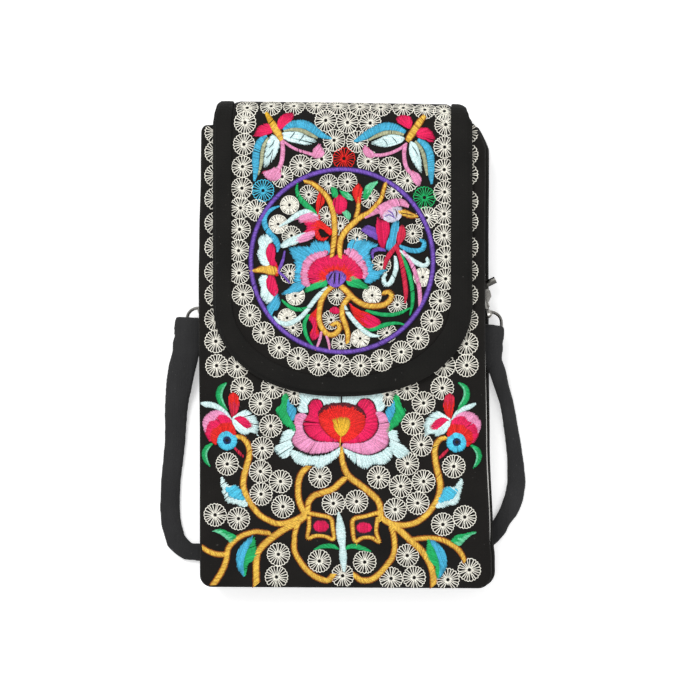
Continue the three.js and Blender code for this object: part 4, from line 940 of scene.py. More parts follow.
# Rows: kind, colours, way or slant, chart, layer, and for some the raggedness
FLAP_ROWS = [
    # left butterfly
    ("fill", "magenta", (279, 129), "278,127.5 279,120 283,115.5 289,113.3 294.8,114.8 292.3,121 "
     "287,125.3 281,129.8", 0.3),
    ("fill", "magenta", (276, 131), "254,136.3 257,130 261,125.5 267,123.8 271.3,126 274.3,131 269,134.6 "
     "262,136.8", 0.3),
    ("band", "sky", 8, "285,130.5,4 289.5,126.5,7.5 296,125,8.4 306,125.5,8.8 314,130,9 322,135.5,6.6 "
     "332,139.3,2", 0.3),
    ("band", "sky", -8, "267,136,3 261,141.5,7 257.3,150.5,7.8 256.3,161,7.8 256.3,171,6.4 "
     "255,181,2.6", 0.3),
    ("band", "sage", 10, "285,131.5,2 293,130,3.4 302,131,4.4 310,134.5,4.4 318,138.6,2.4", 0.46),
    ("band", "sage", -10, "269,138.5,2.4 265,145,3.8 263,153,4.2 262.3,161,3.8 260.8,169,2.8 "
     "259,175,1.6", 0.46),
    ("fill", "cyan", (279, 135), "283,133.5 290,132.3 300,132.5 308,136.5 317.5,141.8 307,145.4 298,143.8 "
     "289,141.3 284,138.3", 0.36),
    ("fill", "cyan", (278, 134), "272.5,135 278.5,139 280.2,146 277.3,154 273,161 265,168.3 264.3,160 "
     "266,150 268,142", 0.36),
    ("band", "pink", 25, "283,140.5,2.4 290,146,3 298,150.3,3.1 307,153.2,3.3 314,155.3,3.6", 0.3),
    ("fill", "pink", 60, "314,150 320,144.6 323,149 325.5,154.3 320.5,158.5 313,156.8", 0.4),
    ("band", "pink", -25, "282.3,139.5,3.6 283.6,148,4.6 283.2,157,4.7 281.5,165,4.7 278.5,171,4.6", 0.3),
    ("fill", "pink", 60, "263.3,172.3 270,170.3 276,167.8 281.5,171 281.5,177.5 276,181 270,180.3 "
     "265.3,176.5", 0.4),
    ("band", "yellow", 10, "266.5,113.5,3.6 271,121,6 274,126,7", 0.46),
    ("band", "gold", 10, "273,124.5,6.8 275.5,128.5,7.2 279.5,134.5,6.4 282.3,140.5,4.4", 0.48),
    ("band", "teal", 0, "291,138.6,0.5 294.5,134.6,0.8 295.5,133,0.4", 0.74),
    ("band", "teal", 0, "300,142,0.5 303.5,137.5,0.8 305,135,0.4", 0.74),
    ("band", "teal", 0, "270,148,0.5 273.5,144.5,0.8 275,141,0.4", 0.74),
    ("band", "teal", 0, "267.5,158,0.5 271,154.5,0.8 273.6,150,0.4", 0.74),
    # right butterfly
    ("fill", "magenta", (411, 130), "396.8,119 402,116.3 410,117.5 412.8,123 410.3,129.3 405,127.3 "
     "398,123.4", 0.3),
    ("fill", "magenta", (415, 136), "416.5,133.3 421.5,129 428,129.3 433.2,134 435.3,141.8 431.8,143.3 "
     "425,140.3 418.5,138.3", 0.3),
    ("band", "sky", -8, "405.5,133.5,5 396,129,8.2 386,127.5,8.8 376,131,8.8 368,135.3,8 361,139.5,6 "
     "355,142,2.6", 0.3),
    ("band", "sage", -10, "404,135.6,2.6 396,133.6,4.2 386,133.9,4.4 377,137,3.8 369.5,141,2", 0.46),
    ("fill", "cyan", (409, 139), "404.3,138.3 398,136.3 388,135.8 380,139.3 371.5,144.3 384,147.8 "
     "394,146.3 403.3,142.3", 0.36),
    ("band", "sky", 8, "418.5,141,4 426,146.3,7.2 430.3,155,7.8 431.3,165,7.8 431.5,175,6.6 "
     "432.2,184.5,2.6", 0.3),
    ("band", "sage", 10, "416,142.5,2.6 421,149,3.8 424.3,157,4.3 426.2,167,3.8 427.6,176,2.2", 0.46),
    ("fill", "cyan", (409, 139), "410.8,142 417,146 420.3,155 422.3,165 421.8,174 417,168.3 412,160.3 "
     "409.8,151", 0.36),
    ("band", "pink", -25, "407,145,3 400,150,3.4 391,154,3.5 382,156,3.6 375,156,4", 0.3),
    ("fill", "pink", 120, "365.8,145.6 370,149.6 375,154.6 372,159.3 366,156 363.6,150.6", 0.4),
    ("band", "pink", 25, "406,145,4 404.8,153,4.2 405.3,162,4.3 408,170,4.2 412.5,175,4", 0.3),
    ("fill", "pink", 120, "411,171.6 417,173.3 421.8,179 420,186.6 415,184 411.6,178", 0.4),
    ("band", "gold", -10, "425,117.3,4 420.3,123,5.8 415,131,6.4 410.3,138,6 408,142,4", 0.48),
    ("band", "teal", 0, "384,140,0.5 387,143.5,0.8 388,146,0.4", 0.74),
    ("band", "teal", 0, "393,138.6,0.5 396,141.5,0.8 397.5,144.5,0.4", 0.74),
    ("band", "teal", 0, "413,148,0.5 416,151.5,0.8 418.5,157,0.4", 0.74),
    # the medallion's left butterfly
    ("fill", "cyan", (275, 264), "268.5,234 263,235.7 258.8,241 260.3,247 258,254 260.8,261 265,266.5 "
     "270.5,264.3 268.3,258 266.3,251 270,245 275.3,240 273,236", 0.3),
    ("fill", "ink", 90, "264.2,241 265,240.2 265.8,241 265,241.8", 0.7),
    ("fill", "ink", 90, "262.4,281 263.2,280.2 264,281 263.2,281.8", 0.7),
    ("fill", "ink", 90, "266.4,296 267.2,295.2 268,296 267.2,296.8", 0.7),
    ("fill", "magenta", 80, "271,242.6 275.3,246 276.3,252 275.8,260 278.3,265 273,266.6 269,262.3 "
     "267,255 268,248", 0.42),
    ("band", "sky", 20, "280,206.5,1.6 273.5,209,3.6 267.3,214,5 265,221,5.8 267,228,5.8 271,234,6 "
     "276,240,6.6 279,246,5 278.3,252,2", 0.36),
    ("fill", "cyan", (275, 276), "262,275 259.8,281 262,288 261,294 264,300.3 269,304.3 274,301 275.3,297 "
     "270.3,292 267.3,284 268.3,276.5", 0.3),
    ("fill", "magenta", 80, "270,274.5 275,276.6 277.3,283 279,290 276,297.5 272,294 268,288 "
     "267.3,280", 0.42),
    ("fill", "sky", 60, "276.5,289.5 279.3,295 281.3,304 279,309.3 274.3,311.5 273.3,316 276.5,323 "
     "271,319.3 268,312.5 268,306 272,301.3 275,297", 0.36),
    ("band", "red", 10, "277,265,2.4 278.6,270.3,3.6 277.3,276,2.4", 0.5),
    ("band", "gold", 20, "250.5,271,1.4 258,270.6,4 264,269.6,7.2 271,270.2,9.4 278,271,8", 0.5),
    ("band", "purple", 25, "285.6,251.5,2 284.2,259,3 281.7,266,3.6 279.3,271.5,3 285,276.5,2.6 "
     "290.5,283,1.8", 0.5),
    # the medallion's upper left flower
    ("band", "green", 30, "298.3,184,1.6 297.6,191,3.6 301,199,5.2 307,205.3,6.2 314,211,4.4 "
     "318,214,1.4", 0.3),
    ("band", "cyan", -20, "280.5,226.5,1.8 288,222.3,3.6 295,217.3,5.2 301,213.8,5.8 309,212.3,6 "
     "318,216.3,2.4", 0.3),
    ("fill", "pink", 20, "298.5,219.3 305,214.8 313,213.5 318,216.3 320.3,220 314,222.3 305,223", 0.4, 1.4),
    ("fill", "red/magenta", (324, 227), "303,221.5 310,220 317,219.6 321,226 317,231.3 306,232.5 "
     "309.3,227", 0.44, 1.4),
    ("fill", "cyan", 15, "280.8,245.3 287,240 296,236 305,233 314,230.8 316.5,233 311,237.3 303,241.3 "
     "293,245.3 284,248.6", 0.3),
    ("fill", "pink", 15, "297,238.5 305,234 315.5,230.6 317,234.5 309,240.5 300,243", 0.42, 1.6),
    ("fill", "red", (330, 232), "315,219.6 321,220.6 327,225.6 332.5,231 331.3,235.5 324,229.6 319,229 "
     "316.5,227", 0.5),
    ("fill", "red", 50, "316.5,229.5 319,228.6 319.6,233.5 321.5,237 325,238.3 329.8,237 326,241 "
     "320,240.4 316,236", 0.5),
    ("fill", "red", 80, "320,192.5 324,196.5 325.3,203 322.3,207.5 320.3,213 321.3,220 318,216 317,207 "
     "318,199", 0.4),
    # branches
    ("band", "gold", 35, "305,181.6,2.4 313,184,3.6 320,189,4.2 326,195,4.4 331,203,4.8 334,213,4.8 "
     "335.5,225,4.8 335,240,4.8 332.6,257,3.6", 0.5),
    ("band", "gold", -35, "387.3,182,2.8 384.6,190,3.1 382,199,3.4 377,206,3.8 370,213,4.2 361,218,4.8 "
     "354,224,5 347,231,5.2 342.5,238,4.8 340.5,247,4.8 341,258,3.6", 0.5),
    ("band", "gold", 35, "359.3,198,3.6 359,209,3.6 357,217,3.4", 0.44),
    ("fill", "red", 80, "357,185.6 360,184.6 363.3,190 362.3,196 361.3,203.5 358.5,206 355.5,200 "
     "353.3,192", 0.5),
    ("fill", "green", 70, "332,188.6 336,187.6 338.8,193 337,198.6 333,196.3", 0.36),
    ("fill", "mint/green", 150, "341,191.6 347,192.3 352,196 354.5,201.6 348,199.5 343,196.4", 0.36),
    ("fill", "green/mint", 60, "363.6,198 365.8,188 371,183.8 378.6,182 375.3,188 371.3,195 "
     "367,200.6", 0.36),
    ("fill", "mint", 100, "343,212.6 347,211 351.3,215 350.3,220.6 346,217.3", 0.36),
    ("fill", "magenta", 85, "335,198.6 340,195.6 345.3,198 348.3,205 346,211.3 341,214.6 336,213 "
     "332.8,206", 0.42),
    # the medallion's middle flower
    ("fill", "sky", (334, 272), "289.5,248.6 300,247.3 311,247 312.3,243.6 317,241.8 323,242.8 "
     "329.3,242.8 330.5,253 318,253.5 309,258.5 303,264 296,260.5 293,255", 0.22, 0.9),
    ("fill", "sky", (334, 272), "296,260 303,263.5 302,272 302,281 306.3,286.3 301,291.3 292,293.4 "
     "282.5,294.6 289,289 295,283 297,268", 0.22, 0.9),
    ("fill", "sky", (344, 272), "349.6,243 355,239.6 365,240.8 378,246 371.3,249.3 370,257 373,265 "
     "375,271.3 387,269.6 381.3,276 375,281.3 366.6,283.5 366.3,276 366,268 361,260 354,252.3 "
     "348.6,248", 0.22, 0.9),
    ("fill", "pink", (330, 272), "329.3,251.6 322,251.6 313,254.6 305.6,260 302.6,268 301.6,277 305,285.6 "
     "311,286.3 309.3,280 309.3,272 311.3,266 317,259.6 326,256.6", 0.36, 0.6),
    ("fill", "pink", (344, 272), "344.6,251.6 351,248.6 357,251.6 363.3,258.6 367.3,267.6 368.3,276 "
     "363,279.5 364,271.3 358,264.3 350,257.3", 0.36, 0.7),
    ("fill", "red/magenta", (334, 276), "337,257.6 326,256.6 317,260.6 310.6,267.6 308.6,275 310,282.6 "
     "320,283.3 328,278.3 331,273.6 337,269.6", 0.46, 0.9),
    ("fill", "red/magenta", (336, 280), "337,261 326,262 318,268 315,276 322,279 330,274 "
     "337,269", 0.54, 1.0),
    ("fill", "red/magenta", (341, 276), "336.4,257 345,255.6 352,258.6 359,265.6 363.3,272 364.3,278.3 "
     "357,279.3 349,281.3 345,277.3 341,271.3 336.4,269.3", 0.46, 0.9),
    ("fill", "red/magenta", (340, 280), "337,261 346,260.5 354,265 359,273 352,277 344,273 "
     "337,269", 0.54, 1.0),
    ("fill", "purple", (337, 288), "326.6,276 331,271.6 337,270.3 343,271.6 347.3,276 345.3,282 340,286.6 "
     "334,287.3 329,283.3", 0.66),
    ("band", "ink", 0, "329.5,280.5,0.8 331,277.5,1.4 333,274,1", 0.98),
    ("band", "ink", 0, "335,284,0.8 335.6,279,1.5 336,273.6,1.1", 0.98),
    ("band", "ink", 0, "340,284,0.8 340.2,279,1.5 340.6,273.8,1.1", 0.98),
    ("band", "lilac", 0, "332.6,283,0.8 333.4,278.5,1.3 334.4,274,0.9", 0.96),
    ("band", "lilac", 0, "344.4,280,0.8 343.6,277,1.2 342.8,274.4,0.8", 0.96),
    ("fill", "green", (332, 278), "305.6,293.3 307,288 314,284 322,280.6 328,280.6 327,286.3 319,288.3 "
     "312,291.3", 0.4),
    ("fill", "green", (342, 278), "347.6,280 353,276 358,277.6 362.3,281.6 369.3,286 369.3,289.6 "
     "360,288.3 354,287.3 348,284.3", 0.4),
    # ribbons and curls below
    ("band", "green", 40, "283,300.5,1.8 288,305,3.6 295,309,4.2 303,309.3,4.2 311,306.6,1.8", 0.34),
    ("band", "green", 40, "309.3,315,3.4 305.6,323,4.2 306,331,4.2 309,339,3.2 315.3,348,1.4", 0.34),
    ("band", "cyan", 35, "327.6,287.6,2.6 321,294,4.6 315,301,4.8 309,309,4.8 303,316,4.8 296,321,5.2 "
     "288,324,5.2 279.5,322,4 275,317,1.8", 0.42),
    ("fill", "magenta/red", 75, "312,314 317,308.6 320.3,304.6 321.3,311 319.3,320 318.3,328 320.3,335 "
     "314,340 311,333.5 314,326 309.8,319", 0.34),
    ("fill", "magenta", 90, "329.6,311 334,307.3 339.3,308.6 340.3,313.3 334,313.6", 0.36),
    ("band", "pink", 30, "322.3,332,2.8 320.3,341,3.2 316.6,350,1.8", 0.34),
    ("band", "pink", 30, "327,335,2.4 329.6,343,2.8 330.6,351,1.8", 0.34),
    ("fill", "magenta/red", 150, "350,302.6 358,309 368,312.8 376,316.8 381.6,322 378,328.4 369,328.4 "
     "360,322.3 353,313.3", 0.34),
    ("band", "cyan", -30, "344.6,304,2.6 349,313,4.2 356,322,4.8 364,330,4.8 372,335.3,4.2 "
     "380,336.3,2", 0.42),
    ("band", "green", -35, "367,310.6,2.4 379,314,4.2 391,315,4.2 401,313,3.6 410,308.6,1.6", 0.34),
    ("band", "green", -35, "361.6,329,2 374,329.3,4.2 385,325.3,4.8 397,323.3,3.2 407,325.3,1.4", 0.34),
    ("band", "gold", 35, "337,284.6,3.8 329,290,4.8 323,299,4.8 320.5,309,4.8 320,319,4.8 323,328,4.8 "
     "329,334.3,4.8 336,333.8,4.8 340.3,328,4.6 337.6,323,4.2 332.6,325.6,3.2", 0.5),
    ("band", "gold", -35, "340,284.6,4.6 347,291,5.2 355,299,4.8 365,305,4.8 376,306.3,4.8 386,304.3,4.8 "
     "392,298,4.8 390,292.8,4.6 383.6,293,3.2", 0.5),
    ("band", "gold", 35, "350.6,296,4.4 344,306,4.8 343,315,4.8 346,324,4.6 348.6,333,4.2 "
     "348.6,343,3.2", 0.46),
    # the bird
    ("band", "sky", 30, "400.6,246.6,3.2 408,250,5 416,251.3,5.2 423,249.3,5.2 424.3,243,4.8 "
     "420.6,240.6,2.8", 0.36),
    ("band", "cyan", 30, "400.6,251.6,2.8 408,257,4.2 416,262.6,4.8 424,266,5 428.3,263,4.6 "
     "427,258.6,3.2", 0.36),
    ("band", "pink", 30, "403.6,251.6,2.8 411,262,4.2 416,274,4.3 419.5,287,4.3 420.6,299,4.2 "
     "420,310,2.2", 0.38),
    ("band", "green", 30, "401.6,254.6,2.6 407,266,4.1 411,279,4.3 413,292,4.3 413,304,3.6 "
     "410.6,315,1.6", 0.4),
    ("band", "crimson", 30, "397,247,4.6 401,258,4.8 403.5,270,5.1 405.5,283,5.1 406.6,294,4.6 "
     "406,303,1.8", 0.44),
    ("band", "cyan", -30, "396,257,2.6 397,266,4.8 395,275,4.8 391,283,5.2 386,284.3,5 384.6,278,4.2 "
     "387.3,274.4,2.4", 0.4),
    ("band", "crimson", -30, "397.6,246,5 391,254,5.2 387,261,4.8 384.6,269,2.6", 0.5),
    ("fill", "purple", 160, "361.6,231 368,225.8 375,227.8 378.6,233 379.3,240.6 373,238.3 366,234.3", 0.4),
    ("band", "purple", 30, "386,250.6,3 379,249.6,4.4 373.5,252.6,3.8 374,259,1.4", 0.44),
    ("band", "pink", 20, "366,218.6,2 374,213.6,5.6 382,209.2,8 390,205.4,9 398,203,8.8 404,203.6,7 "
     "409,207,3.4", 0.4),
    ("fill", "pink", 60, "381,209 388,206 394,209 392,216 386,219 381,216", 0.46, 0.9),
    ("fill", "lavender", (394, 226), "383,214 389,209 396,207.5 402,209 402,215 400,220 393,222 "
     "386,221", 0.5, 0.7),
    ("band", "purple", 10, "389,211.5,0.8 392.5,213.5,1.2 394.5,217.5,0.8", 0.86),
    ("band", "lilac", 10, "386,217,0.8 390,215.5,1.2 396,219,0.8", 0.84),
    ("band", "wine", 10, "396,210,0.6 397.5,213.5,1 397,217,0.6", 0.88),
    ("band", "gold", 30, "399.6,213,4.6 406,214,6 411,215.6,5.2 418,217,1.6", 0.56),
    ("band", "wine", 0, "402,213.8,0.6 408,214.8,0.9 414,216,0.5", 0.96),
    ("fill", "magenta", 95, "378,217.6 382,220.6 388,221.8 391.3,228 389.3,236 387,243 384,249.6 380,245 "
     "378,236 376.8,227", 0.5),
    ("fill", "sky", 80, "395,221.6 399.3,220.6 399.3,230 397,238 396,246 391,251.6 387,249 388,242 "
     "391,234 392,227", 0.52),
    ("fill", "crimson", 80, "400,227.6 403,225.6 406.3,231 405.3,239 402.3,243 399,247 397,240 "
     "398,233", 0.54),
]
for kind, colours, way, text, layer, *ragged in FLAP_ROWS:
    if kind == "band":
        # Gold gets amber beneath, whose dark edges are painted shade
        under = "amber" if colours == "gold" else None
        band(FLAP, colours, text, slant=way, layer=layer, arch=0.36, under=under)
    else:
        fringe = {"cyan": "teal", "sky": "teal", "pink": "magenta", "purple": "ink"}.get(colours)
        fill(FLAP, colours, way, text, layer=layer, ragged=ragged[0] if ragged else 0.4, fringe=fringe)

# The cloth pieces. The front and back have rings at these shares of the outline's distance from the middle.
SHARES = np.concatenate([np.linspace(0.04, 0.9, 26), [0.92, 0.935, 0.95]])


def body_faces(name, height, thick, rim):
    """A panel on the body's outline: rings from the middle out, round the rim and back underneath."""
    line_out = outline(2.0)

    def ring(points, off):
        return np.column_stack([points, height(points[:, 0], points[:, 1]) - off])

    middle = np.array([0, MIDDLE])
    top = [ring(middle + (line_out - middle) * s, 0) for s in SHARES]
    under = [ring(middle + (line_out - middle) * s, thick) for s in SHARES[::-1]]
    edge = [ring(inset(line_out, i), d) for i, d in rim]
    z = float(height(np.zeros(1), np.full(1, MIDDLE))[0])
    return shell_mesh(name, top + edge + under, (0, MIDDLE, z), (0, MIDDLE, z - thick))


# Rims: how far in from the outline and down from the face each ring lies, in mm
FRONT_RIM = [
    (1.9, 0.0), (1.2, 0.06), (0.6, 0.3), (0.2, 0.8), (0, 1.4), (0.1, 2.0), (0.27, 2.5), (0.4, 2.6),
    (1.6, 2.6),
    (1.9, 2.3), (2.4, 1.8),
]
BACK_RIM = [(0.9, 0.0), (0.45, 0.07), (0.12, 0.3), (0, 0.8), (0.12, 1.3), (0.45, 1.53), (0.9, 1.6)]
front = body_faces("front_cloth", front_height, WALL, FRONT_RIM)


def back_top(x, y):
    return back_height(np.minimum(y, FOLD_START - 0.4)) + WALL


def squared(obj):
    """The back ends straight, just short of the flap's fold, and lies a little right of the front."""
    limit = (FOLD_START - SEAM_GAP) * MM
    for v in obj.data.vertices:
        v.co.y = min(v.co.y, limit)
        v.co.x += BACK_SHIFT * MM
    return obj


back = squared(body_faces("back_cloth", back_top, WALL, BACK_RIM))


def gusset_mesh():
    path = seam_path(1.6)
    side = np.where(path[:, 0] < 0, 1, 2)
    a = along(path[:, 1])
    depth = GUSSET_FOLD * np.where(side == 1, read(DEPTHS, 1, a), read(DEPTHS, 2, a))
    low = back_height(path[:, 1]) + WALL + SEAM_GAP
    high = front_base(path[:, 0], path[:, 1]) - RIM_DROP - BACKING - 2 * SEAM_GAP
    rise = np.linspace(0, 1, 41)
    folds = np.interp(rise, [r for r, _ in SECTION], [f for _, f in SECTION])
    folds = np.convolve(np.pad(folds, 2, mode="edge"), [0.1, 0.2, 0.4, 0.2, 0.1], "valid")
    grid = np.zeros((len(path), len(rise), 3))
    crease = 0.16 * soft_waves(np.arange(len(path))[:, None] * 1.6, rise[None] * 12, 9, 11)
    for k, f in enumerate(folds):
        pts = inset(path, 0.27 + depth * f)
        grid[:, k, :2] = pts + [BACK_SHIFT * (1 - rise[k]), 0]
        grid[:, k, 2] = low + (high - low) * rise[k]
    ease = np.sin(np.pi * rise)[None]
    run = np.gradient(grid, axis=0)
    up = np.gradient(grid, axis=1)
    n = np.cross(run, up)
    n /= np.linalg.norm(n, axis=-1, keepdims=True)
    outer = grid + n * (crease * ease - 0.05)[..., None]
    return sheet_mesh("gusset_cloth", outer, outer - n * GUSSET_WALL)


gusset = gusset_mesh()


def backing_mesh():
    path = seam_path(2.0)
    a = along(path[:, 1])
    peek = 0.9 * np.where(path[:, 0] < 0, read(PEEK, 1, a), read(PEEK, 2, a))
    high = front_base(path[:, 0], path[:, 1]) - RIM_DROP - SEAM_GAP
    top, low = [], []
    for w in (0, 0.25, 1.2, 2.4):
        at, thinner = inset(path, 0.54 - peek + w), 0.12 if w == 0 else 0
        top.append(np.column_stack([at, high - thinner]))
        low.append(np.column_stack([at, high - BACKING + thinner]))
    return sheet_mesh("backing_cloth", np.stack(top, 1), np.stack(low, 1))


backing = backing_mesh()


STRAIGHT = np.linspace(0, FOLD_START - FLAP_BEND, 34)[:-1]  # the flap's straight part, down from the fold


def flap_grid(columns, inset_mm):
    """Rows of x and down over the flap: round the fold, down its straight part and over its round bottom."""
    rows = []
    t = np.linspace(0, 1, columns)
    downs = np.concatenate([np.linspace(-FOLD_LENGTH, 0, 37)[:-1], STRAIGHT])
    for down in downs:
        left, right = float(flap_edge(-1, down)) + inset_mm, float(flap_edge(1, down)) - inset_mm
        rows.append(np.column_stack([left + (right - left) * t, np.full(columns, down)]))
    for angle in np.radians(np.linspace(0, 86, 30)):
        x, y = round_bottom(angle, FLAP_SHIFT, FLAP_HALF - inset_mm, FLAP_DEPTH - inset_mm, FLAP_ROUND)
        rows.append(np.column_stack([x + (2 * FLAP_SHIFT - 2 * x) * t, np.full(columns, FOLD_START - y)]))
    return np.stack(rows)


grid = flap_grid(56, 1.6)
flap = sheet_mesh(
    "flap_cloth",
    flap_lifted(grid[..., 0], grid[..., 1], np.zeros(grid.shape[:2])),
    flap_lifted(grid[..., 0], grid[..., 1], np.full(grid.shape[:2], -FLAP_WALL)),
)


def border_mesh():
    start = -FOLD_LENGTH * 8 / 12
    downs = np.concatenate([np.linspace(start, 0, 20)[:-1], STRAIGHT])
    outer, inner = [], []

    def straight(side, values):
        outer.append(np.column_stack([flap_edge(side, values), values]))
        inner.append(np.column_stack([np.full(len(values), BORDER_SHIFT + side * BORDER_HALF), values]))

    straight(-1, downs)
    angle = np.radians(np.linspace(0, 180, 91))
    x, y = round_bottom(angle, FLAP_SHIFT, FLAP_HALF, FLAP_DEPTH, FLAP_ROUND)
    outer.append(np.column_stack([x, FOLD_START - y]))
    x, y = round_bottom(angle, BORDER_SHIFT, BORDER_HALF, BORDER_DEPTH, BORDER_ROUND)
    inner.append(np.column_stack([x, FOLD_START - y]))
    straight(1, downs[::-1])
    outer, inner = np.concatenate(outer), np.concatenate(inner)
    width = np.hypot(*(inner - outer).T)
    high, low = BORDER_GAP + BORDER_WALL, -FLAP_WALL + 0.1
    # Rows: share of the way in from the outer edge, lip, lift of the face and lift of the underside
    section = [
        (1, 0, 0.62, 0.3), (0.97, 0, 0.86, 0.3), (0.9, 0, 0.98, 0.3), (0.75, 0, 1.0, 0.3),
        (0.5, 0, 1.02, 0.3), (0.3, 0, 1.0, 0.3), (0.12, 0, 0.97, 0.3), (0, 1.06, 0.93, 0.3),
        (0, 1.0, 0.92, low), (0, 0.45, 0.8, low * 0.95), (0, 0.12, 0.6, low * 0.8), (0, 0, 0.35, low * 0.55),
    ]
    over, under = [], []
    for share, lip, face, below in section:
        s = (share + (1 - share) * lip / width)[:, None]
        at = outer + (inner - outer) * s
        wave = 0.05 * soft_waves(at[:, 0], at[:, 1], 14, 21) * min(1, 4 * abs(share - share**2) + 0.2)
        over.append(flap_lifted(at[:, 0], at[:, 1], high * face + wave))
        under.append(flap_lifted(at[:, 0], at[:, 1], np.full(len(at), below)))
    return sheet_mesh("border_cloth", np.stack(over, 1), np.stack(under, 1))


border = border_mesh()


def softened(name, source, voxel, smooth, waves, seed):
    """A CAD node's form as a fine smooth mesh, with slight unevenness along its normals."""
    me = nodes[source].data.copy()
    obj = bpy.data.objects.new(name, me)
    bpy.context.scene.collection.objects.link(obj)
    me.materials.clear()
    remesh = obj.modifiers.new("fine", "REMESH")
    remesh.mode = "VOXEL"
    remesh.voxel_size = voxel * MM
    ease = obj.modifiers.new("ease", "CORRECTIVE_SMOOTH")
    ease.iterations = smooth
    ease.use_only_smooth = True
    bpy.context.view_layer.update()
    done = bpy.data.meshes.new_from_object(obj.evaluated_get(bpy.context.evaluated_depsgraph_get()))
    obj.modifiers.clear()
    obj.data = done
    done.name = name
    co = np.zeros(len(done.vertices) * 3)
    done.vertices.foreach_get("co", co)
    co = co.reshape(-1, 3) / MM
    n = np.zeros(len(done.vertices) * 3)
    done.vertices.foreach_get("normal", n)
    move = waves * soft_waves(co[:, 0] + co[:, 2], co[:, 1], 13, seed)
    co += n.reshape(-1, 3) * move[:, None]
    co[:, 2] = np.maximum(co[:, 2], 0.05)
    done.vertices.foreach_set("co", (co * MM).reshape(-1))
    done.shade_smooth()
    done.update()
    return obj


strap = softened("strap_cloth", "strap", 0.42, 8, 0.12, 31)
# Soft bends of the strap, in mm: the middle's x and y, the reach across and along, the push in x and in y
BENDS = [(-73, -66, 9, 22, -0.9, 0), (-69.7, -85.9, 5, 4.5, -0.5, -0.9), (69.5, -77.5, 5, 6, -1.2, 0.5)]
for v in strap.data.vertices:
    # The left end spreads outwards from where the bight starts, and its lap reaches a little further up
    x, y = v.co.x / MM, v.co.y / MM
    reach = min(1, max(0, (-66 - x) / 5))
    v.co.x -= 1.9 * MM * reach * min(1, max(0, (y + 40) / 30))
    v.co.y += 1.2 * MM * min(1, max(0, (y - 4) / 4)) * (x < 0)
    for mid_x, mid_y, wide, long, push_x, push_y in BENDS:
        near = math.exp(-(((x - mid_x) / wide) ** 2) - ((y - mid_y) / long) ** 2)
        v.co.x += push_x * MM * near
        v.co.y += push_y * MM * near
tabs = [softened(f"tab_{s}_cloth", f"tab_{s}", 0.25, 5, 0.03, 33) for s in ("left", "right")]


def inside_body(points):
    line_in = inset(outline(4.0), 0.9)
    x, y = points[:, 0], FOLD_START - points[:, 1]
    inside = np.zeros(len(points), bool)
    j = len(line_in) - 1
    for i in range(len(line_in)):
        (xi, yi), (xj, yj) = line_in[i], line_in[j]
        cross = ((yi > y) != (yj > y)) & (x < (xj - xi) * (y - yi) / (yj - yi + 1e-12) + xi)
        inside ^= cross
        j = i
    return inside


front_thread = BODY.mesh("front_embroidery", front_lifted, inside_body)
flap_thread = FLAP.mesh("flap_embroidery", flap_lifted, lambda p: (p[:, 0] > -48.4) & (p[:, 0] < 45.9))

PIECES = [
    (front, GROUND, "embroidered", "front_panel"), (back, CANVAS, "canvas", "back_panel"),
    (gusset, CANVAS, "canvas", "gusset"), (backing, PALE, "backing", "seam_backing"),
    (flap, GROUND, "embroidered", "flap_panel"), (border, CANVAS, "canvas", "flap_border"),
    (strap, STRAP, "strap", "strap"), (tabs[0], CANVAS, "canvas", "tab_left"),
    (tabs[1], CANVAS, "canvas", "tab_right"),
]
for obj, mat, slot, source in PIECES:
    obj.data.materials.append(mat)
    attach(obj, "pouch")
    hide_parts(source)
# The pale backing shows low on the right alone, and elsewhere the seam's edge is dark grey cloth whose grey
# is a painted highlight, the glint along the seam
backing.data.materials.append(SEAM_GLINT)
for face in backing.data.polygons:
    face.material_index = 0 if face.center.x > 45 * MM and face.center.y < 30 * MM else 1
for obj in (front_thread, flap_thread):
    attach(obj, "pouch")

EDGE_ROUND = 0.28 * MM  # cast edges are soft
for key in ("hook_left", "hook_right", "lever_left", "lever_right", "eye_left", "eye_right"):
    metal = nodes[key]
    metal.data.materials.clear()
    # The levers take the darker copy of the nickel, painted shade
    metal.data.materials.append(SHADED_NICKEL if key.startswith("lever") else NICKEL)
    bevel = metal.modifiers.new("edge", "BEVEL")
    bevel.width = EDGE_ROUND
    bevel.segments = 3
    bevel.limit_method = "ANGLE"
    bevel.angle_limit = math.radians(38)
    metal.data.shade_smooth()

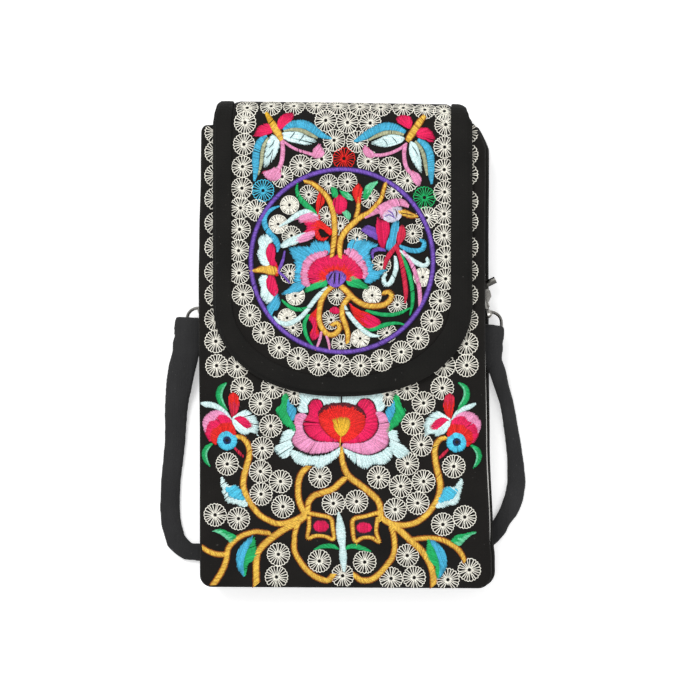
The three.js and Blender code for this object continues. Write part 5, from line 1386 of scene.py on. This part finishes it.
# Floor, camera and light
scene = bpy.context.scene
FAR, LEVEL = 3, -0.0004  # the floor's reach, and its level, just under the part
floor_mesh = bpy.data.meshes.new("floor")
floor_corners = [(-FAR, -FAR, LEVEL), (FAR, -FAR, LEVEL), (FAR, FAR, LEVEL), (-FAR, FAR, LEVEL)]
floor_mesh.from_pydata(floor_corners, [], [(0, 1, 2, 3)])
floor = bpy.data.objects.new("floor", floor_mesh)
scene.collection.objects.link(floor)
paper, tree, shader = material("white paper")
shader.inputs["Base Color"].default_value = (0.93, 0.93, 0.93, 1)
shader.inputs["Roughness"].default_value = 0.9
shader.inputs["Emission Color"].default_value = (1, 1, 1, 1)
shader.inputs["Emission Strength"].default_value = 0.4
floor_mesh.materials.append(paper)

PICTURE_MIDDLE, LOOK_HEIGHT, LENS, DISTANCE = 350, 0.0172, 148, 1.2
across, down = (PICTURE_MIDDLE - CHART_X) * UNIT * MM, (PICTURE_MIDDLE - CHART_Y) * UNIT * MM
target = Vector((across, -down, LOOK_HEIGHT))
sideways = math.radians(3.6)  # the photo was taken from a little to the right
camera_data = bpy.data.cameras.new("camera")
camera_data.lens = LENS
camera = bpy.data.objects.new("camera", camera_data)
camera.location = target + Vector((math.sin(sideways), 0, math.cos(sideways))) * DISTANCE
camera.rotation_euler = Matrix.Rotation(sideways, 4, "Y").to_euler()
scene.collection.objects.link(camera)
scene.camera = camera

world = bpy.data.worlds.new("studio")
world.use_nodes = True
tree = world.node_tree
way = node(tree, "ShaderNodeTexCoord").outputs["Generated"]
height = node(tree, "ShaderNodeSeparateXYZ", {0: way}).outputs[2]
# The sky is brighter overhead than at its edge
strength = node(tree, "ShaderNodeMapRange", {0: height, 1: 0.0, 2: 0.7, 3: 0.16, 4: 0.66}).outputs[0]
tree.links.new(strength, tree.nodes["Background"].inputs[1])
tree.nodes["Background"].inputs[0].default_value = (1, 1, 1, 1)
scene.world = world


def lamp(name, place, size, power):
    data = bpy.data.lights.new(name, "AREA")
    data.size = size
    data.energy = power
    obj = bpy.data.objects.new(name, data)
    obj.location = place
    obj.rotation_euler = (Vector((0, 0, 0)) - Vector(place)).to_track_quat("-Z", "Y").to_euler()
    scene.collection.objects.link(obj)


lamp("key", (-0.35, 0.55, 0.9), 0.5, 6)
lamp("fill", (0.6, -0.4, 0.9), 0.7, 3.4)
scene.view_settings.view_transform = "Standard"
